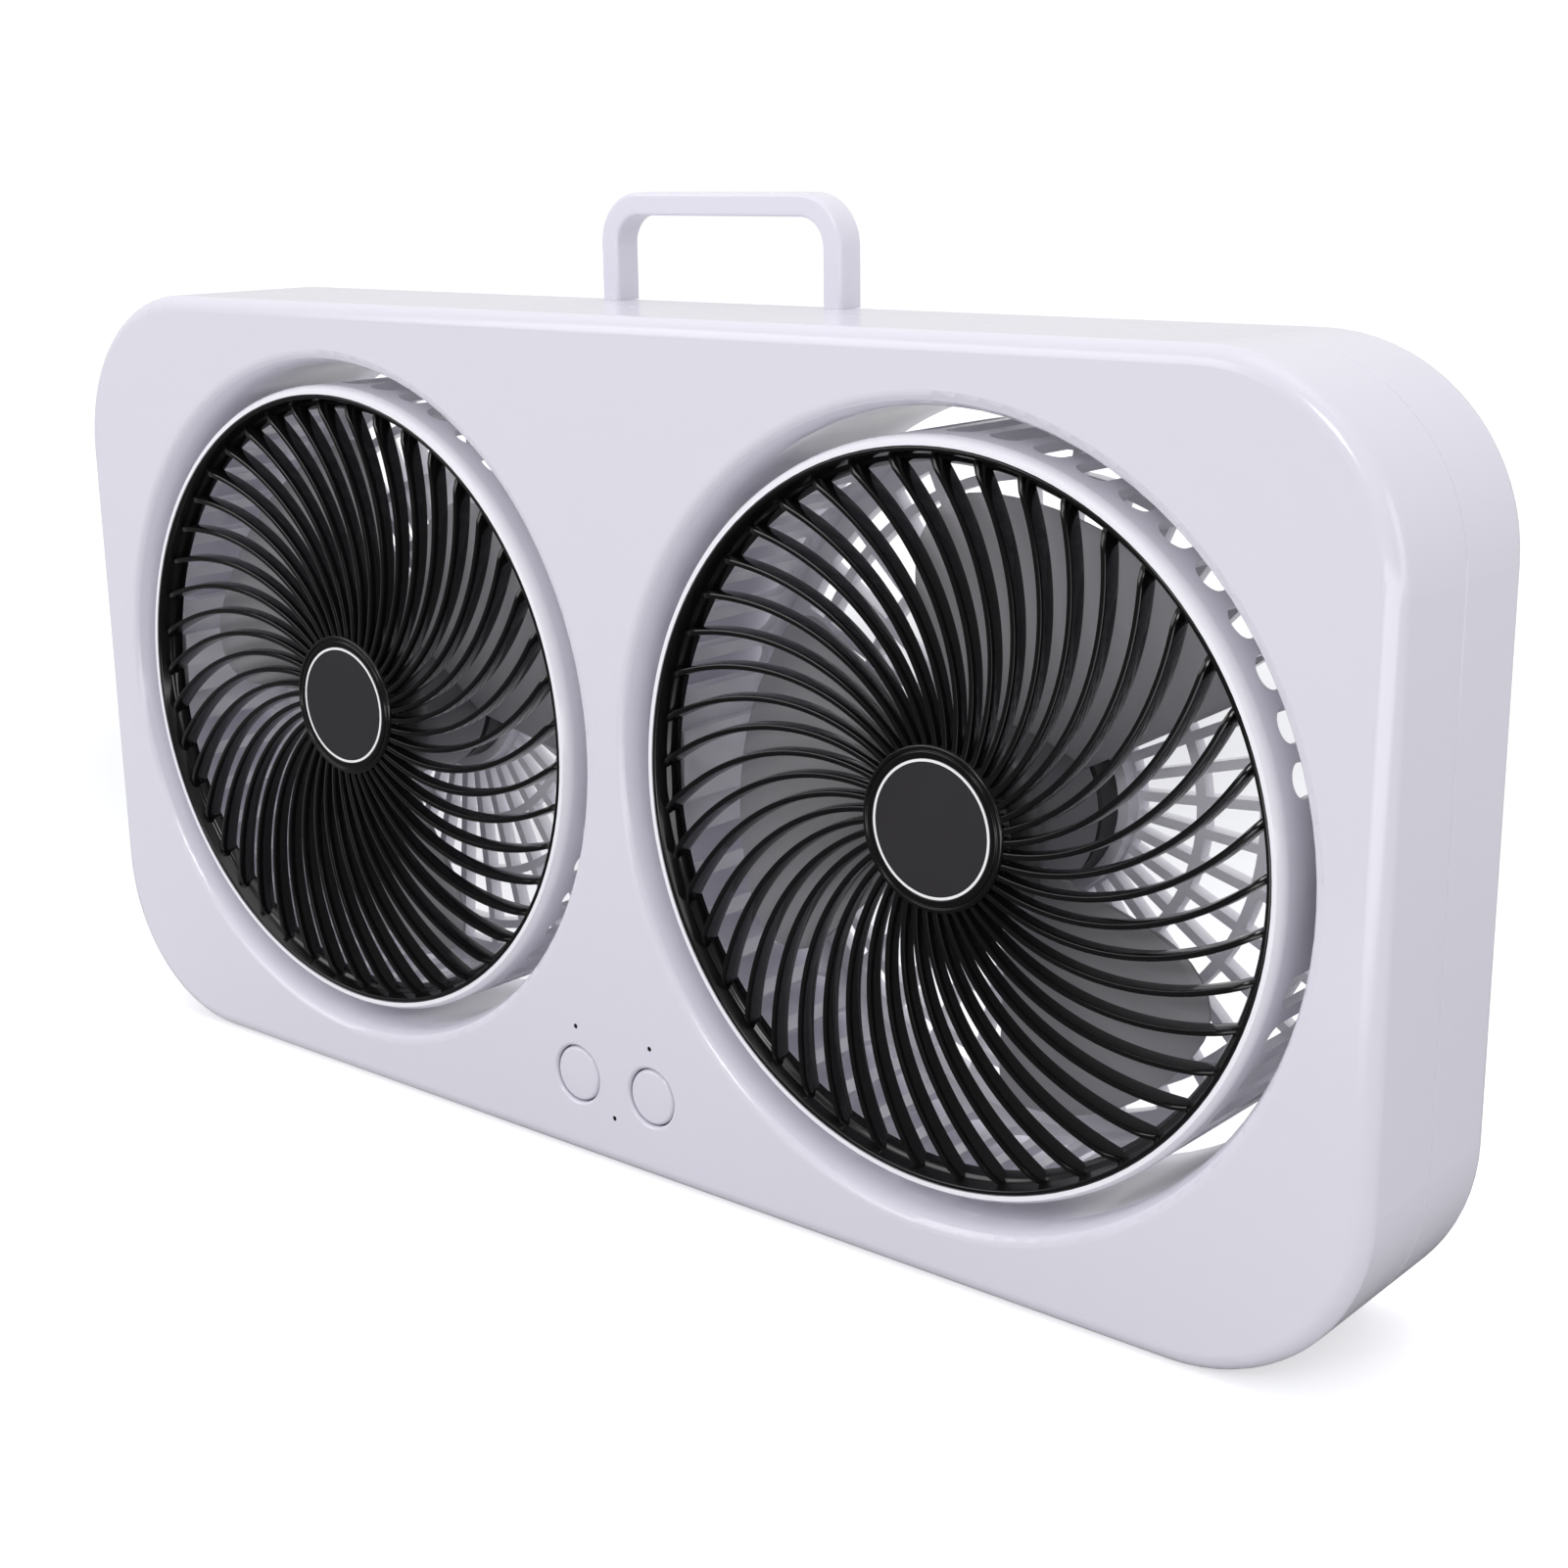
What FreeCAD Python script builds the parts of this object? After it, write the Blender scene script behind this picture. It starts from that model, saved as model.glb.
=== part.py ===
import FreeCAD, Part
import math
import os
import re
import Sketcher
from FreeCAD import Placement, Rotation, Vector

# Driving sizes in millimetres and degrees, grouped by piece
SIZES = {
    # Case: two shells that meet at mid depth
    "case_width": 308.6,
    "case_height": 159.6,
    "case_depth": 40.8,
    "case_corner": 33.5,
    "case_edge": 3.0,
    "case_wall": 2.0,
    "seam_bevel": 0.25,
    # Air tubes through the case
    "head_spacing": 148.0,
    "tube_radius": 68.0,
    "tube_wall": 2.0,
    "mouth_round": 2.0,
    "mouth_flare": 9.0,
    "mouth_angle": 60.0,
    "tube_rear_round": 2.0,
    # Fits shared by all pieces
    "clear_gap": 0.3,
    "run_fit": 0.05,
    "snug_fit": 0.05,
    # Drum of each head
    "drum_radius": 63.9,
    "drum_wall": 1.7,
    "drum_front": 19.8,
    "drum_rear": 16.4,
    "drum_lip": 0.8,
    "drum_rear_round": 1.6,
    "shoulder_depth": 2.2,
    "shoulder_round": 3.0,
    "ledge_width": 1.4,
    "ledge_thickness": 1.2,
    "slot_pitch": 7.5,
    "slot_steps": 21,
    "slot_width": 5.6,
    "slot_front": 13.9,
    "slot_rear": 10.0,
    # Rear grille
    "rear_thickness": 2.8,
    "rear_rib_count": 36,
    "rear_rib_width": 1.7,
    "rear_disc_radius": 19.0,
    "rear_ring_pitch": 11.7,
    "rear_ring_width": 1.8,
    "rear_rim_width": 3.6,
    # Front grille
    "ring_land": 0.7,
    "ring_taper": 2.3,
    "ring_depth": 4.4,
    "swirl_count": 45,
    "swirl_thickness": 1.2,
    "swirl_depth": 3.6,
    "swirl_recess": 0.4,
    "swirl_tip_round": 3.0,
    "swirl_turn": 34.5,
    "swirl_bow": 47.3,
    "left_swirl_angle": -2.9,
    "right_swirl_angle": -0.5,
    "grille_hub_radius": 14.2,
    "grille_hub_bevel": 0.5,
    "grille_hub_depth": 2.6,
    "badge_radius": 11.3,
    "badge_depth": 0.8,
    "badge_ring_width": 0.45,
    # Pivots of each head
    "trunnion_radius": 3.4,
    "trunnion_reach": 72.0,
    "pivot_pad_width": 13.0,
    "pivot_pad_depth": 2.8,
    "bush_wall": 1.75,
    "bush_reach": 72.5,
    "bush_proud": 0.3,
    "saddle_height": 16.0,
    "saddle_wall": 1.5,
    "friction_ring_radius": 5.0,
    # Motor
    "motor_radius": 16.5,
    "motor_length": 8.8,
    "motor_edge": 1.0,
    "collar_height": 3.0,
    "collar_wall": 2.0,
    "motor_screw_offset": 11.0,
    "shaft_radius": 1.0,
    "shaft_length": 21.0,
    # Impeller
    "hub_radius": 17.0,
    "hub_length": 17.0,
    "hub_round": 3.0,
    "hub_wall": 1.6,
    "hub_boss_radius": 4.0,
    "hub_boss_length": 9.0,
    "hub_gap": 0.6,
    "blade_count": 3,
    "blade_radius": 54.0,
    "blade_thickness": 1.6,
    "blade_rise": 15.0,
    "blade_half_angle": 37.5,
    "blade_corner": 7.0,
    "left_blade_angle": 64.5,
    "right_blade_angle": 24.5,
    # Case screws
    "screw_corner_across": 272.0,
    "screw_corner_apart": 123.6,
    "screw_middle_apart": 64.4,
    "screw_radius": 1.45,
    "screw_hole_radius": 1.7,
    "screw_bite": 10.0,
    "screw_head_radius": 2.8,
    "screw_head_height": 2.2,
    "screw_sink": 8.0,
    "front_boss_radius": 3.6,
    "rear_boss_radius": 4.6,
    # Carry handle
    "handle_width": 58.6,
    "handle_height": 20.0,
    "handle_depth": 6.1,
    "handle_bar": 4.2,
    "handle_corner": 9.5,
    "handle_edge": 0.7,
    "handle_inset": 1.1,
    "tenon_depth": 4.0,
    "handle_screw_radius": 1.0,
    "handle_screw_length": 12.0,
    "handle_screw_head_radius": 3.0,
    "handle_screw_head_height": 1.6,
    "handle_screw_back": 5.2,
    # Buttons and indicator dots
    "button_spacing": 19.3,
    "button_height": 16.5,
    "button_radius": 5.4,
    "button_hole_round": 0.7,
    "button_edge": 0.4,
    "button_flange": 1.2,
    "button_flange_depth": 1.0,
    "button_stem_radius": 1.5,
    "button_travel": 0.5,
    "dot_radius": 0.5,
    "dot_rise": 9.75,
    "dot_drop": 6.6,
    "dot_recess": 0.6,
    # Control board
    "board_width": 44.0,
    "board_bottom": 5.0,
    "board_top": 31.0,
    "board_back": 9.6,
    "board_thickness": 1.6,
    "board_post_inset": 3.5,
    "board_post_radius": 2.4,
    "board_screw_radius": 0.9,
    "board_screw_hole_radius": 1.1,
    "board_screw_length": 5.5,
    "board_screw_head_radius": 1.8,
    "board_screw_head_height": 1.2,
    "switch_width": 6.0,
    "switch_body": 3.0,
    "plunger_radius": 1.7,
    "plunger_height": 0.7,
    "led_width": 1.6,
    "led_height": 0.8,
    "pipe_radius": 0.9,
    "pipe_collar_radius": 1.6,
    "pipe_collar_depth": 0.8,
    # Battery
    "cell_radius": 9.25,
    "cell_length": 65.2,
    "cell_edge": 0.6,
    "cell_nub_radius": 2.8,
    "cell_nub_height": 0.7,
    "cradle_wall": 1.6,
    "cradle_rise": 5.0,
    # Charging inlet
    "shelf_width": 20.0,
    "shelf_depth": 12.4,
    "shelf_thickness": 4.0,
    "shelf_top": 27.0,
    "charge_board_thickness": 1.2,
    "charge_screw_offset": 7.0,
    "charge_screw_back": 9.5,
    "port_width": 8.94,
    "port_height": 3.2,
    "port_length": 7.4,
    "port_skin": 0.3,
    "port_tongue_width": 6.6,
    "port_tongue_height": 0.7,
}

doc = FreeCAD.newDocument("dual_head_fan")
sheet = doc.addObject("Spreadsheet::Sheet", "Sizes")
for row, (alias, amount) in enumerate(SIZES.items(), start=1):
    sheet.set(f"A{row}", alias)
    sheet.set(f"B{row}", str(amount))
    sheet.setAlias(f"B{row}", alias)
doc.recompute()

START, END, CENTRE = 1, 2, 3


def formula(text):
    """Point the names of sizes in a formula at the sheet."""
    return re.sub(r"[a-z_]{3,}", lambda word: f"Sizes.{word[0]}" if word[0] in SIZES else word[0], text)


def number(text):
    return float(sheet.evalExpression(formula(text)))


def new_body(label, x="0", y="0", z="0", turn=None):
    body = doc.addObject("PartDesign::Body", label)
    body.Label = label
    place(body, x, y, z, turn)
    return body


def place(item, x, y, z, turn=None):
    """Bind a placement to formulas; turn is an axis and an angle formula."""
    if turn:
        item.Placement = Placement(Vector(), Rotation(turn[0], number(turn[1])))
        item.setExpression("Placement.Rotation.Angle", formula(turn[1]))
    for axis, text in zip("xyz", (x, y, z)):
        item.setExpression(f"Placement.Base.{axis}", formula(text))


def origin_part(body, role):
    return next(item for item in body.Origin.OriginFeatures if item.Role == role)


def new_sketch(body, role, right="0", up="0", out="0", tilt=None):
    """Sketch on an origin plane, shifted in the plane and along its normal, or tilted about its upright."""
    sketch = body.newObject("Sketcher::SketchObject", "Sketch")
    sketch.AttachmentSupport = (origin_part(body, role), [""])
    sketch.MapMode = "FlatFace"
    if tilt:
        sketch.AttachmentOffset = Placement(Vector(), Rotation(Vector(0, 1, 0), number(tilt)))
        sketch.setExpression("AttachmentOffset.Rotation.Angle", formula(tilt))
    for axis, text in zip("xyz", (right, up, out)):
        sketch.setExpression(f"AttachmentOffset.Base.{axis}", formula(text))
    return sketch


def bind(sketch, kind, where, text):
    index = sketch.addConstraint(Sketcher.Constraint(kind, *where, number(text)))
    sketch.setExpression(f"Constraints[{index}]", formula(text))


def pin(sketch, item, end, right, up):
    """Hold a point of the sketch at two formulas from its origin."""
    for kind, text, axis in (("DistanceX", right, -2), ("DistanceY", up, -1)):
        if text == "0":
            sketch.addConstraint(Sketcher.Constraint("PointOnObject", item, end, axis))
        else:
            bind(sketch, kind, (-1, 1, item, end), text)


def circle(sketch, right, up, radius):
    centre = Vector(number(right), number(up), 0)
    item = sketch.addGeometry(Part.Circle(centre, Vector(0, 0, 1), number(radius)))
    pin(sketch, item, CENTRE, right, up)
    bind(sketch, "Radius", (item,), radius)


def arc_between(start, end, radius, left):
    """Short arc from start to end that turns left or right."""
    chord = end - start
    side = Vector(-chord.y, chord.x, 0).normalize() * (1 if left else -1)
    height = math.sqrt(max(radius ** 2 - chord.Length ** 2 / 4, 0))
    centre = (start + end) * 0.5 + side * height
    first, last = (start, end) if left else (end, start)
    angles = [math.atan2(point.y - centre.y, point.x - centre.x) for point in (first, last)]
    return Part.ArcOfCircle(Part.Circle(centre, Vector(0, 0, 1), radius), *angles)


def outline(sketch, corners, arcs=None):
    """Closed outline through corner formulas; arcs gives the radius and turn of round sides."""
    arcs = arcs or {}
    points = [Vector(number(right), number(up), 0) for right, up in corners]
    sides = []
    for k, start in enumerate(points):
        end = points[(k + 1) % len(points)]
        if k in arcs:
            radius, turn = arcs[k]
            item = sketch.addGeometry(arc_between(start, end, number(radius), turn == "left"))
            bind(sketch, "Radius", (item,), radius)
            sides.append((item, START, END) if turn == "left" else (item, END, START))
        else:
            sides.append((sketch.addGeometry(Part.LineSegment(start, end)), START, END))
    for k, (item, first, last) in enumerate(sides):
        after, after_first, _ = sides[(k + 1) % len(sides)]
        sketch.addConstraint(Sketcher.Constraint("Coincident", item, last, after, after_first))
        pin(sketch, item, first, *corners[k])


def box(sketch, left, bottom, right, top):
    outline(sketch, [(left, bottom), (right, bottom), (right, top), (left, top)])


def round_box(sketch, left, bottom, right, top, radius):
    """Rectangle with equal round corners."""
    corners = [
        (f"{left} + {radius}", bottom),
        (f"{right} - {radius}", bottom),
        (right, f"{bottom} + {radius}"),
        (right, f"{top} - {radius}"),
        (f"{right} - {radius}", top),
        (f"{left} + {radius}", top),
        (left, f"{top} - {radius}"),
        (left, f"{bottom} + {radius}"),
    ]
    outline(sketch, corners, {side: (radius, "left") for side in (1, 3, 5, 7)})


def add_feature(body, kind, sketch, reverse=False):
    feature = body.newObject(f"PartDesign::{kind}", kind)
    feature.Profile = sketch
    feature.Reversed = reverse
    sketch.Visibility = False
    return feature


def extrude(body, kind, sketch, length, reverse=False, middle=False):
    """Pad or Pocket of a given length, to one side or to both."""
    feature = add_feature(body, kind, sketch, reverse)
    feature.setExpression("Length", formula(length))
    feature.Midplane = middle
    return finish(feature)


def cut_through(body, sketch):
    feature = add_feature(body, "Pocket", sketch)
    feature.Type = "ThroughAll"
    feature.Midplane = True
    return finish(feature)


def spin(body, kind, sketch):
    """Revolution or Groove about the upright axis of the sketch."""
    feature = add_feature(body, kind, sketch)
    feature.ReferenceAxis = (sketch, ["V_Axis"])
    feature.Angle = 360
    return finish(feature)


def repeat(body, feature, count, angle, reverse=False):
    """Pattern of a feature round the fan axis."""
    pattern = body.newObject("PartDesign::PolarPattern", "PolarPattern")
    pattern.Originals = [feature]
    pattern.Axis = (origin_part(body, "Y_Axis"), [""])
    pattern.Reversed = reverse
    pattern.setExpression("Occurrences", formula(count))
    pattern.setExpression("Angle", formula(angle))
    body.Tip = pattern
    return finish(pattern)


def mirror(body, features):
    """Repeat features on the other side of the middle plane of the piece."""
    pattern = body.newObject("PartDesign::Mirrored", "Mirrored")
    pattern.Originals = features
    pattern.MirrorPlane = (origin_part(body, "YZ_Plane"), [""])
    body.Tip = pattern
    return finish(pattern)


def round_edges(body, base, radius, wanted, kind="Fillet"):
    """Fillet or chamfer the edges of the base that a test picks."""
    feature = body.newObject(f"PartDesign::{kind}", kind)
    names = [f"Edge{k}" for k, edge in enumerate(base.Shape.Edges, start=1) if wanted(edge)]
    feature.Base = (base, names)
    feature.setExpression("Radius" if kind == "Fillet" else "Size", formula(radius))
    return finish(feature)


def finish(feature):
    doc.recompute()
    if "Invalid" in feature.State or feature.Shape.isNull():
        raise RuntimeError(f"{feature.getParentGeoFeatureGroup().Label}: {feature.Label} failed")
    return feature


def lies_at(edge, axis, level):
    return all(abs(getattr(vertex.Point, axis) - level) < 1e-4 for vertex in edge.Vertexes)


def turned(label, corners, arcs=None, x="0", y="0", z="0", turn=None):
    """Piece turned about its own Y axis from a radius and length outline."""
    body = new_body(label, x, y, z, turn)
    sketch = new_sketch(body, "XY_Plane")
    outline(sketch, corners, arcs)
    spin(body, "Revolution", sketch)
    return body


def copy_of(label, source, x, y, z, turn=None):
    link = doc.addObject("App::Link", label)
    link.Label = label
    link.LinkedObject = source
    place(link, x, y, z, turn)
    return link


def group(label, source, places, turn=None):
    """Several equal pieces in one node."""
    compound = doc.addObject("Part::Compound", label)
    compound.Label = label
    compound.Links = [copy_of(f"{label}_{k}", source, *spot, turn) for k, spot in enumerate(places, start=1)]
    return compound


def screw(label, radius, length, head_radius, head_height):
    """Screw along Y with its head above zero and a round drive recess."""
    drive = f"{head_radius} * 0.5"
    return turned(label, [
        ("0", f"0 - ({length})"),
        (f"{radius} * 0.5", f"0 - ({length})"),
        (radius, f"{radius} - ({length})"),
        (radius, "0"),
        (head_radius, "0"),
        (head_radius, f"{head_height} * 0.6"),
        (f"{head_radius} * 0.75", head_height),
        (drive, head_height),
        (drive, f"{head_height} * 0.5"),
        ("0", f"{head_height} * 0.5"),
    ])


# Shared positions
AXIS_HEIGHT = "case_height / 2"
LEFT_X, RIGHT_X = "0 - head_spacing / 2", "head_spacing / 2"
HEADS = (LEFT_X, RIGHT_X)
SIDES = ("left", "right")
FAN_AXIS = Vector(0, 1, 0)
HALF_DEPTH = "case_depth / 2"
INNER_DEPTH = "(case_depth / 2 - case_wall)"
BUSH_RADIUS = "(trunnion_radius + run_fit + bush_wall)"
DRUM_INNER = "(drum_radius - drum_wall)"
REAR_FACE = "(drum_rear - rear_thickness)"
MOTOR_FRONT = f"({REAR_FACE} - motor_length)"
HUB_REAR = f"({MOTOR_FRONT} - hub_gap)"
HUB_FRONT = f"({HUB_REAR} - hub_length)"
SCREW_SPOTS = [
    (f"{side} screw_corner_across / 2", f"{AXIS_HEIGHT} {level} screw_corner_apart / 2")
    for side in ("0 -", "0 +") for level in "-+"
] + [("0", f"{AXIS_HEIGHT} {level} screw_middle_apart / 2") for level in "-+"]
BUTTON_X = ("0 - button_spacing / 2", "button_spacing / 2")
DOT_SPOTS = [(x, "button_height + dot_rise") for x in BUTTON_X] + [("0", "button_height - dot_drop")]
BOARD_FRONT = f"(board_back - {HALF_DEPTH} - board_thickness)"
BOARD_REAR = f"(board_back - {HALF_DEPTH})"
POST_SPOTS = [
    (f"{side} (board_width / 2 - board_post_inset)", f"{level} board_post_inset")
    for side in ("0 -", "0 +") for level in ("board_bottom +", "board_top -")
]
HANDLE_REAR = f"({HALF_DEPTH} - handle_inset)"
LEG_X = ("handle_bar / 2 - handle_width / 2", "handle_width / 2 - handle_bar / 2")
HANDLE_SCREW_Y = f"{HALF_DEPTH} - handle_screw_back"
CELL_Y = f"({INNER_DEPTH} - cradle_wall - clear_gap - cell_radius)"
CELL_Z = "(case_wall + cradle_wall + clear_gap + cell_radius)"
SHELF_FRONT = f"({INNER_DEPTH} - shelf_depth)"
PORT_BOTTOM = "(shelf_top + charge_board_thickness)"


# Tube mouths: a small round off the front face runs into a long flare, the rear has a plain round
ROUND_WIDTH, ROUND_DEPTH = "mouth_round * sin(mouth_angle)", "mouth_round * (1 - cos(mouth_angle))"
FLARE_WIDTH, FLARE_DEPTH = "mouth_flare * (1 - sin(mouth_angle))", "mouth_flare * cos(mouth_angle)"


# Case shells: each carries half of both tubes, screw bosses and half-round bush seats
def case_shell(label, rear):
    body = new_body(label)
    sign = "0 +" if rear else "0 -"
    face = number(f"{sign} {HALF_DEPTH}")
    mouth_width = "tube_rear_round" if rear else f"({ROUND_WIDTH} + {FLARE_WIDTH})"
    mouth_depth = "tube_rear_round" if rear else f"({ROUND_DEPTH} + {FLARE_DEPTH})"

    sketch = new_sketch(body, "XZ_Plane")
    round_box(sketch, "0 - case_width / 2", "0", "case_width / 2", "case_height", "case_corner")
    block = extrude(body, "Pad", sketch, HALF_DEPTH, reverse=rear)
    block = round_edges(body, block, "case_edge", lambda edge: lies_at(edge, "y", face))
    round_edges(body, block, "seam_bevel", lambda edge: lies_at(edge, "y", 0), kind="Chamfer")

    sketch = new_sketch(body, "XZ_Plane")
    round_box(sketch, "case_wall - case_width / 2", "case_wall", "case_width / 2 - case_wall",
              "case_height - case_wall", "(case_corner - case_wall)")
    extrude(body, "Pocket", sketch, INNER_DEPTH, reverse=not rear)

    sketch = new_sketch(body, "XZ_Plane")
    for x in HEADS:
        circle(sketch, x, AXIS_HEIGHT, f"tube_radius + {mouth_width}")
    cut_through(body, sketch)
    for x in HEADS:
        sketch = new_sketch(body, "XY_Plane", right=x, out=AXIS_HEIGHT)
        profile = [
            ("tube_radius", "0"),
            ("tube_radius + tube_wall", "0"),
            ("tube_radius + tube_wall", f"{sign} {INNER_DEPTH}"),
            (f"tube_radius + tube_wall + {mouth_width}", f"{sign} {INNER_DEPTH}"),
            (f"tube_radius + tube_wall + {mouth_width}", f"{sign} {HALF_DEPTH}"),
            (f"tube_radius + {mouth_width}", f"{sign} {HALF_DEPTH}"),
        ]
        if rear:
            arcs = {5: ("tube_rear_round", "left")}
        else:
            profile.append((f"tube_radius + {FLARE_WIDTH}", f"{ROUND_DEPTH} - {HALF_DEPTH}"))
            arcs = {5: ("mouth_round", "right"), 6: ("mouth_flare", "right")}
        profile.append(("tube_radius", f"{sign} ({HALF_DEPTH} - {mouth_depth})"))
        outline(sketch, profile, arcs)
        spin(body, "Revolution", sketch)

    # Saddles hold the bushes; the middle one serves both heads
    reach = "head_spacing / 2 + tube_radius + tube_wall / 2"
    far = "head_spacing / 2 + bush_reach + saddle_wall"
    near = "(head_spacing / 2 - tube_radius - tube_wall / 2)"
    bottom, top = f"{AXIS_HEIGHT} - saddle_height / 2", f"{AXIS_HEIGHT} + saddle_height / 2"
    sketch = new_sketch(body, "XZ_Plane")
    box(sketch, f"0 - {near}", bottom, near, top)
    box(sketch, reach, bottom, far, top)
    box(sketch, f"0 - ({far})", bottom, f"0 - ({reach})", top)
    extrude(body, "Pad", sketch, f"{HALF_DEPTH} - {mouth_depth}", reverse=rear)
    sketch = new_sketch(body, "YZ_Plane")
    circle(sketch, "0", AXIS_HEIGHT, f"{BUSH_RADIUS} + snug_fit")
    extrude(body, "Pocket", sketch, "head_spacing - tube_radius * 2 + tube_wall", middle=True)
    sketch = new_sketch(body, "YZ_Plane", out="head_spacing / 2 + bush_reach + snug_fit")
    circle(sketch, "0", AXIS_HEIGHT, f"{BUSH_RADIUS} + snug_fit")
    seat = extrude(body, "Pocket", sketch, "bush_reach - tube_radius + tube_wall")
    mirror(body, [seat])

    # Bosses for the case screws
    sketch = new_sketch(body, "XZ_Plane")
    for x, z in SCREW_SPOTS:
        circle(sketch, x, z, "rear_boss_radius" if rear else "front_boss_radius")
    extrude(body, "Pad", sketch, f"{HALF_DEPTH} - case_wall / 2", reverse=rear)
    sketch = new_sketch(body, "XZ_Plane")
    for x, z in SCREW_SPOTS:
        circle(sketch, x, z, "screw_hole_radius" if rear else "screw_radius + snug_fit")
    if rear:
        cut_through(body, sketch)
        sketch = new_sketch(body, "XZ_Plane", out=f"0 - {HALF_DEPTH}")
        for x, z in SCREW_SPOTS:
            circle(sketch, x, z, "screw_head_radius + clear_gap")
        extrude(body, "Pocket", sketch, "screw_sink", reverse=True)
    else:
        extrude(body, "Pocket", sketch, "screw_bite + clear_gap", reverse=True)
    return body


front_shell = case_shell("front_shell", rear=False)
rear_shell = case_shell("rear_shell", rear=True)

# Front shell: button holes with a soft edge, dot holes and board posts
face_sketch = new_sketch(front_shell, "XZ_Plane")
for dot_x, dot_z in DOT_SPOTS:
    circle(face_sketch, dot_x, dot_z, "dot_radius")
cut_through(front_shell, face_sketch)
hole_sketch = new_sketch(front_shell, "XZ_Plane")
for button_x in BUTTON_X:
    circle(hole_sketch, button_x, "button_height", "button_radius + clear_gap")
button_holes = cut_through(front_shell, hole_sketch)
hole_radius = number("button_radius + clear_gap")
round_edges(front_shell, button_holes, "button_hole_round",
            lambda edge: lies_at(edge, "y", number(f"0 - {HALF_DEPTH}"))
            and edge.BoundBox.ZLength < 2 * hole_radius + 0.1 and edge.BoundBox.ZLength > hole_radius)
post_sketch = new_sketch(front_shell, "XZ_Plane", out=f"0 - {BOARD_FRONT}")
for post_x, post_z in POST_SPOTS:
    circle(post_sketch, post_x, post_z, "board_post_radius")
extrude(front_shell, "Pad", post_sketch, f"{BOARD_FRONT} + {HALF_DEPTH} - case_wall / 2")
pilot_sketch = new_sketch(front_shell, "XZ_Plane", out=f"0 - {BOARD_FRONT}")
for post_x, post_z in POST_SPOTS:
    circle(pilot_sketch, post_x, post_z, "board_screw_radius + snug_fit")
extrude(front_shell, "Pocket", pilot_sketch, "board_screw_length - board_thickness + clear_gap",
        reverse=True)

# Rear shell: slots for the handle, shelf and opening for the charging inlet
slot_sketch = new_sketch(rear_shell, "XY_Plane", out="case_height")
TENON_FRONT = f"({HANDLE_SCREW_Y} - tenon_depth / 2)"
TENON_REAR = f"({HANDLE_SCREW_Y} + tenon_depth / 2)"
for leg_x in LEG_X:
    box(slot_sketch, f"{leg_x} - handle_bar / 2 - snug_fit", f"{TENON_FRONT} - snug_fit",
        f"{leg_x} + handle_bar / 2 + snug_fit", f"{TENON_REAR} + snug_fit")
extrude(rear_shell, "Pocket", slot_sketch, "case_wall * 2")
shelf_sketch = new_sketch(rear_shell, "XZ_Plane", out=f"0 - {SHELF_FRONT}")
box(shelf_sketch, "0 - shelf_width / 2", "shelf_top - shelf_thickness", "shelf_width / 2", "shelf_top")
extrude(rear_shell, "Pad", shelf_sketch, "shelf_depth + case_wall / 2", reverse=True)
CHARGE_SCREW_SPOTS = [(f"{side} charge_screw_offset", f"{INNER_DEPTH} - charge_screw_back")
                      for side in ("0 -", "0 +")]
shelf_holes = new_sketch(rear_shell, "XY_Plane", out="shelf_top")
for hole_x, hole_y in CHARGE_SCREW_SPOTS:
    circle(shelf_holes, hole_x, hole_y, "board_screw_radius + snug_fit")
extrude(rear_shell, "Pocket", shelf_holes, "shelf_thickness * 2")
port_sketch = new_sketch(rear_shell, "XZ_Plane", out=f"0 - {INNER_DEPTH} + case_wall / 4")
round_box(port_sketch, "0 - port_width / 2 - clear_gap", PORT_BOTTOM, "port_width / 2 + clear_gap",
          f"{PORT_BOTTOM} + port_height + clear_gap", "(port_height / 2)")
extrude(rear_shell, "Pocket", port_sketch, "case_wall * 2")

case_screw = screw("case_screw", "screw_radius", f"screw_bite + {HALF_DEPTH} - screw_sink",
                   "screw_head_radius", "screw_head_height")
case_screws = group("case_screws", case_screw,
                    [(x, f"{HALF_DEPTH} - screw_sink", z) for x, z in SCREW_SPOTS])

# Carry handle: square loop with tenons, screwed from inside
carry_handle = new_body("carry_handle")
loop_sketch = new_sketch(carry_handle, "XZ_Plane", out=f"0 - {HANDLE_REAR}")
INNER_CORNER = "(handle_corner - handle_bar)"
HANDLE_TOP = "(case_height + handle_height)"
outline(loop_sketch, [
    ("0 - handle_width / 2", "case_height"),
    ("handle_bar - handle_width / 2", "case_height"),
    ("handle_bar - handle_width / 2", f"{HANDLE_TOP} - handle_corner"),
    ("handle_corner - handle_width / 2", f"{HANDLE_TOP} - handle_bar"),
    ("handle_width / 2 - handle_corner", f"{HANDLE_TOP} - handle_bar"),
    ("handle_width / 2 - handle_bar", f"{HANDLE_TOP} - handle_corner"),
    ("handle_width / 2 - handle_bar", "case_height"),
    ("handle_width / 2", "case_height"),
    ("handle_width / 2", f"{HANDLE_TOP} - handle_corner"),
    ("handle_width / 2 - handle_corner", HANDLE_TOP),
    ("handle_corner - handle_width / 2", HANDLE_TOP),
    ("0 - handle_width / 2", f"{HANDLE_TOP} - handle_corner"),
], {2: (INNER_CORNER, "right"), 4: (INNER_CORNER, "right"), 8: ("handle_corner", "left"),
    10: ("handle_corner", "left")})
loop = extrude(carry_handle, "Pad", loop_sketch, "handle_depth")
handle_faces = [number(HANDLE_REAR), number(f"{HANDLE_REAR} - handle_depth")]
round_edges(carry_handle, loop, "handle_edge",
            lambda edge: any(lies_at(edge, "y", level) for level in handle_faces)
            and not lies_at(edge, "z", number("case_height")))
tenon_sketch = new_sketch(carry_handle, "XY_Plane", out="case_height")
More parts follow.
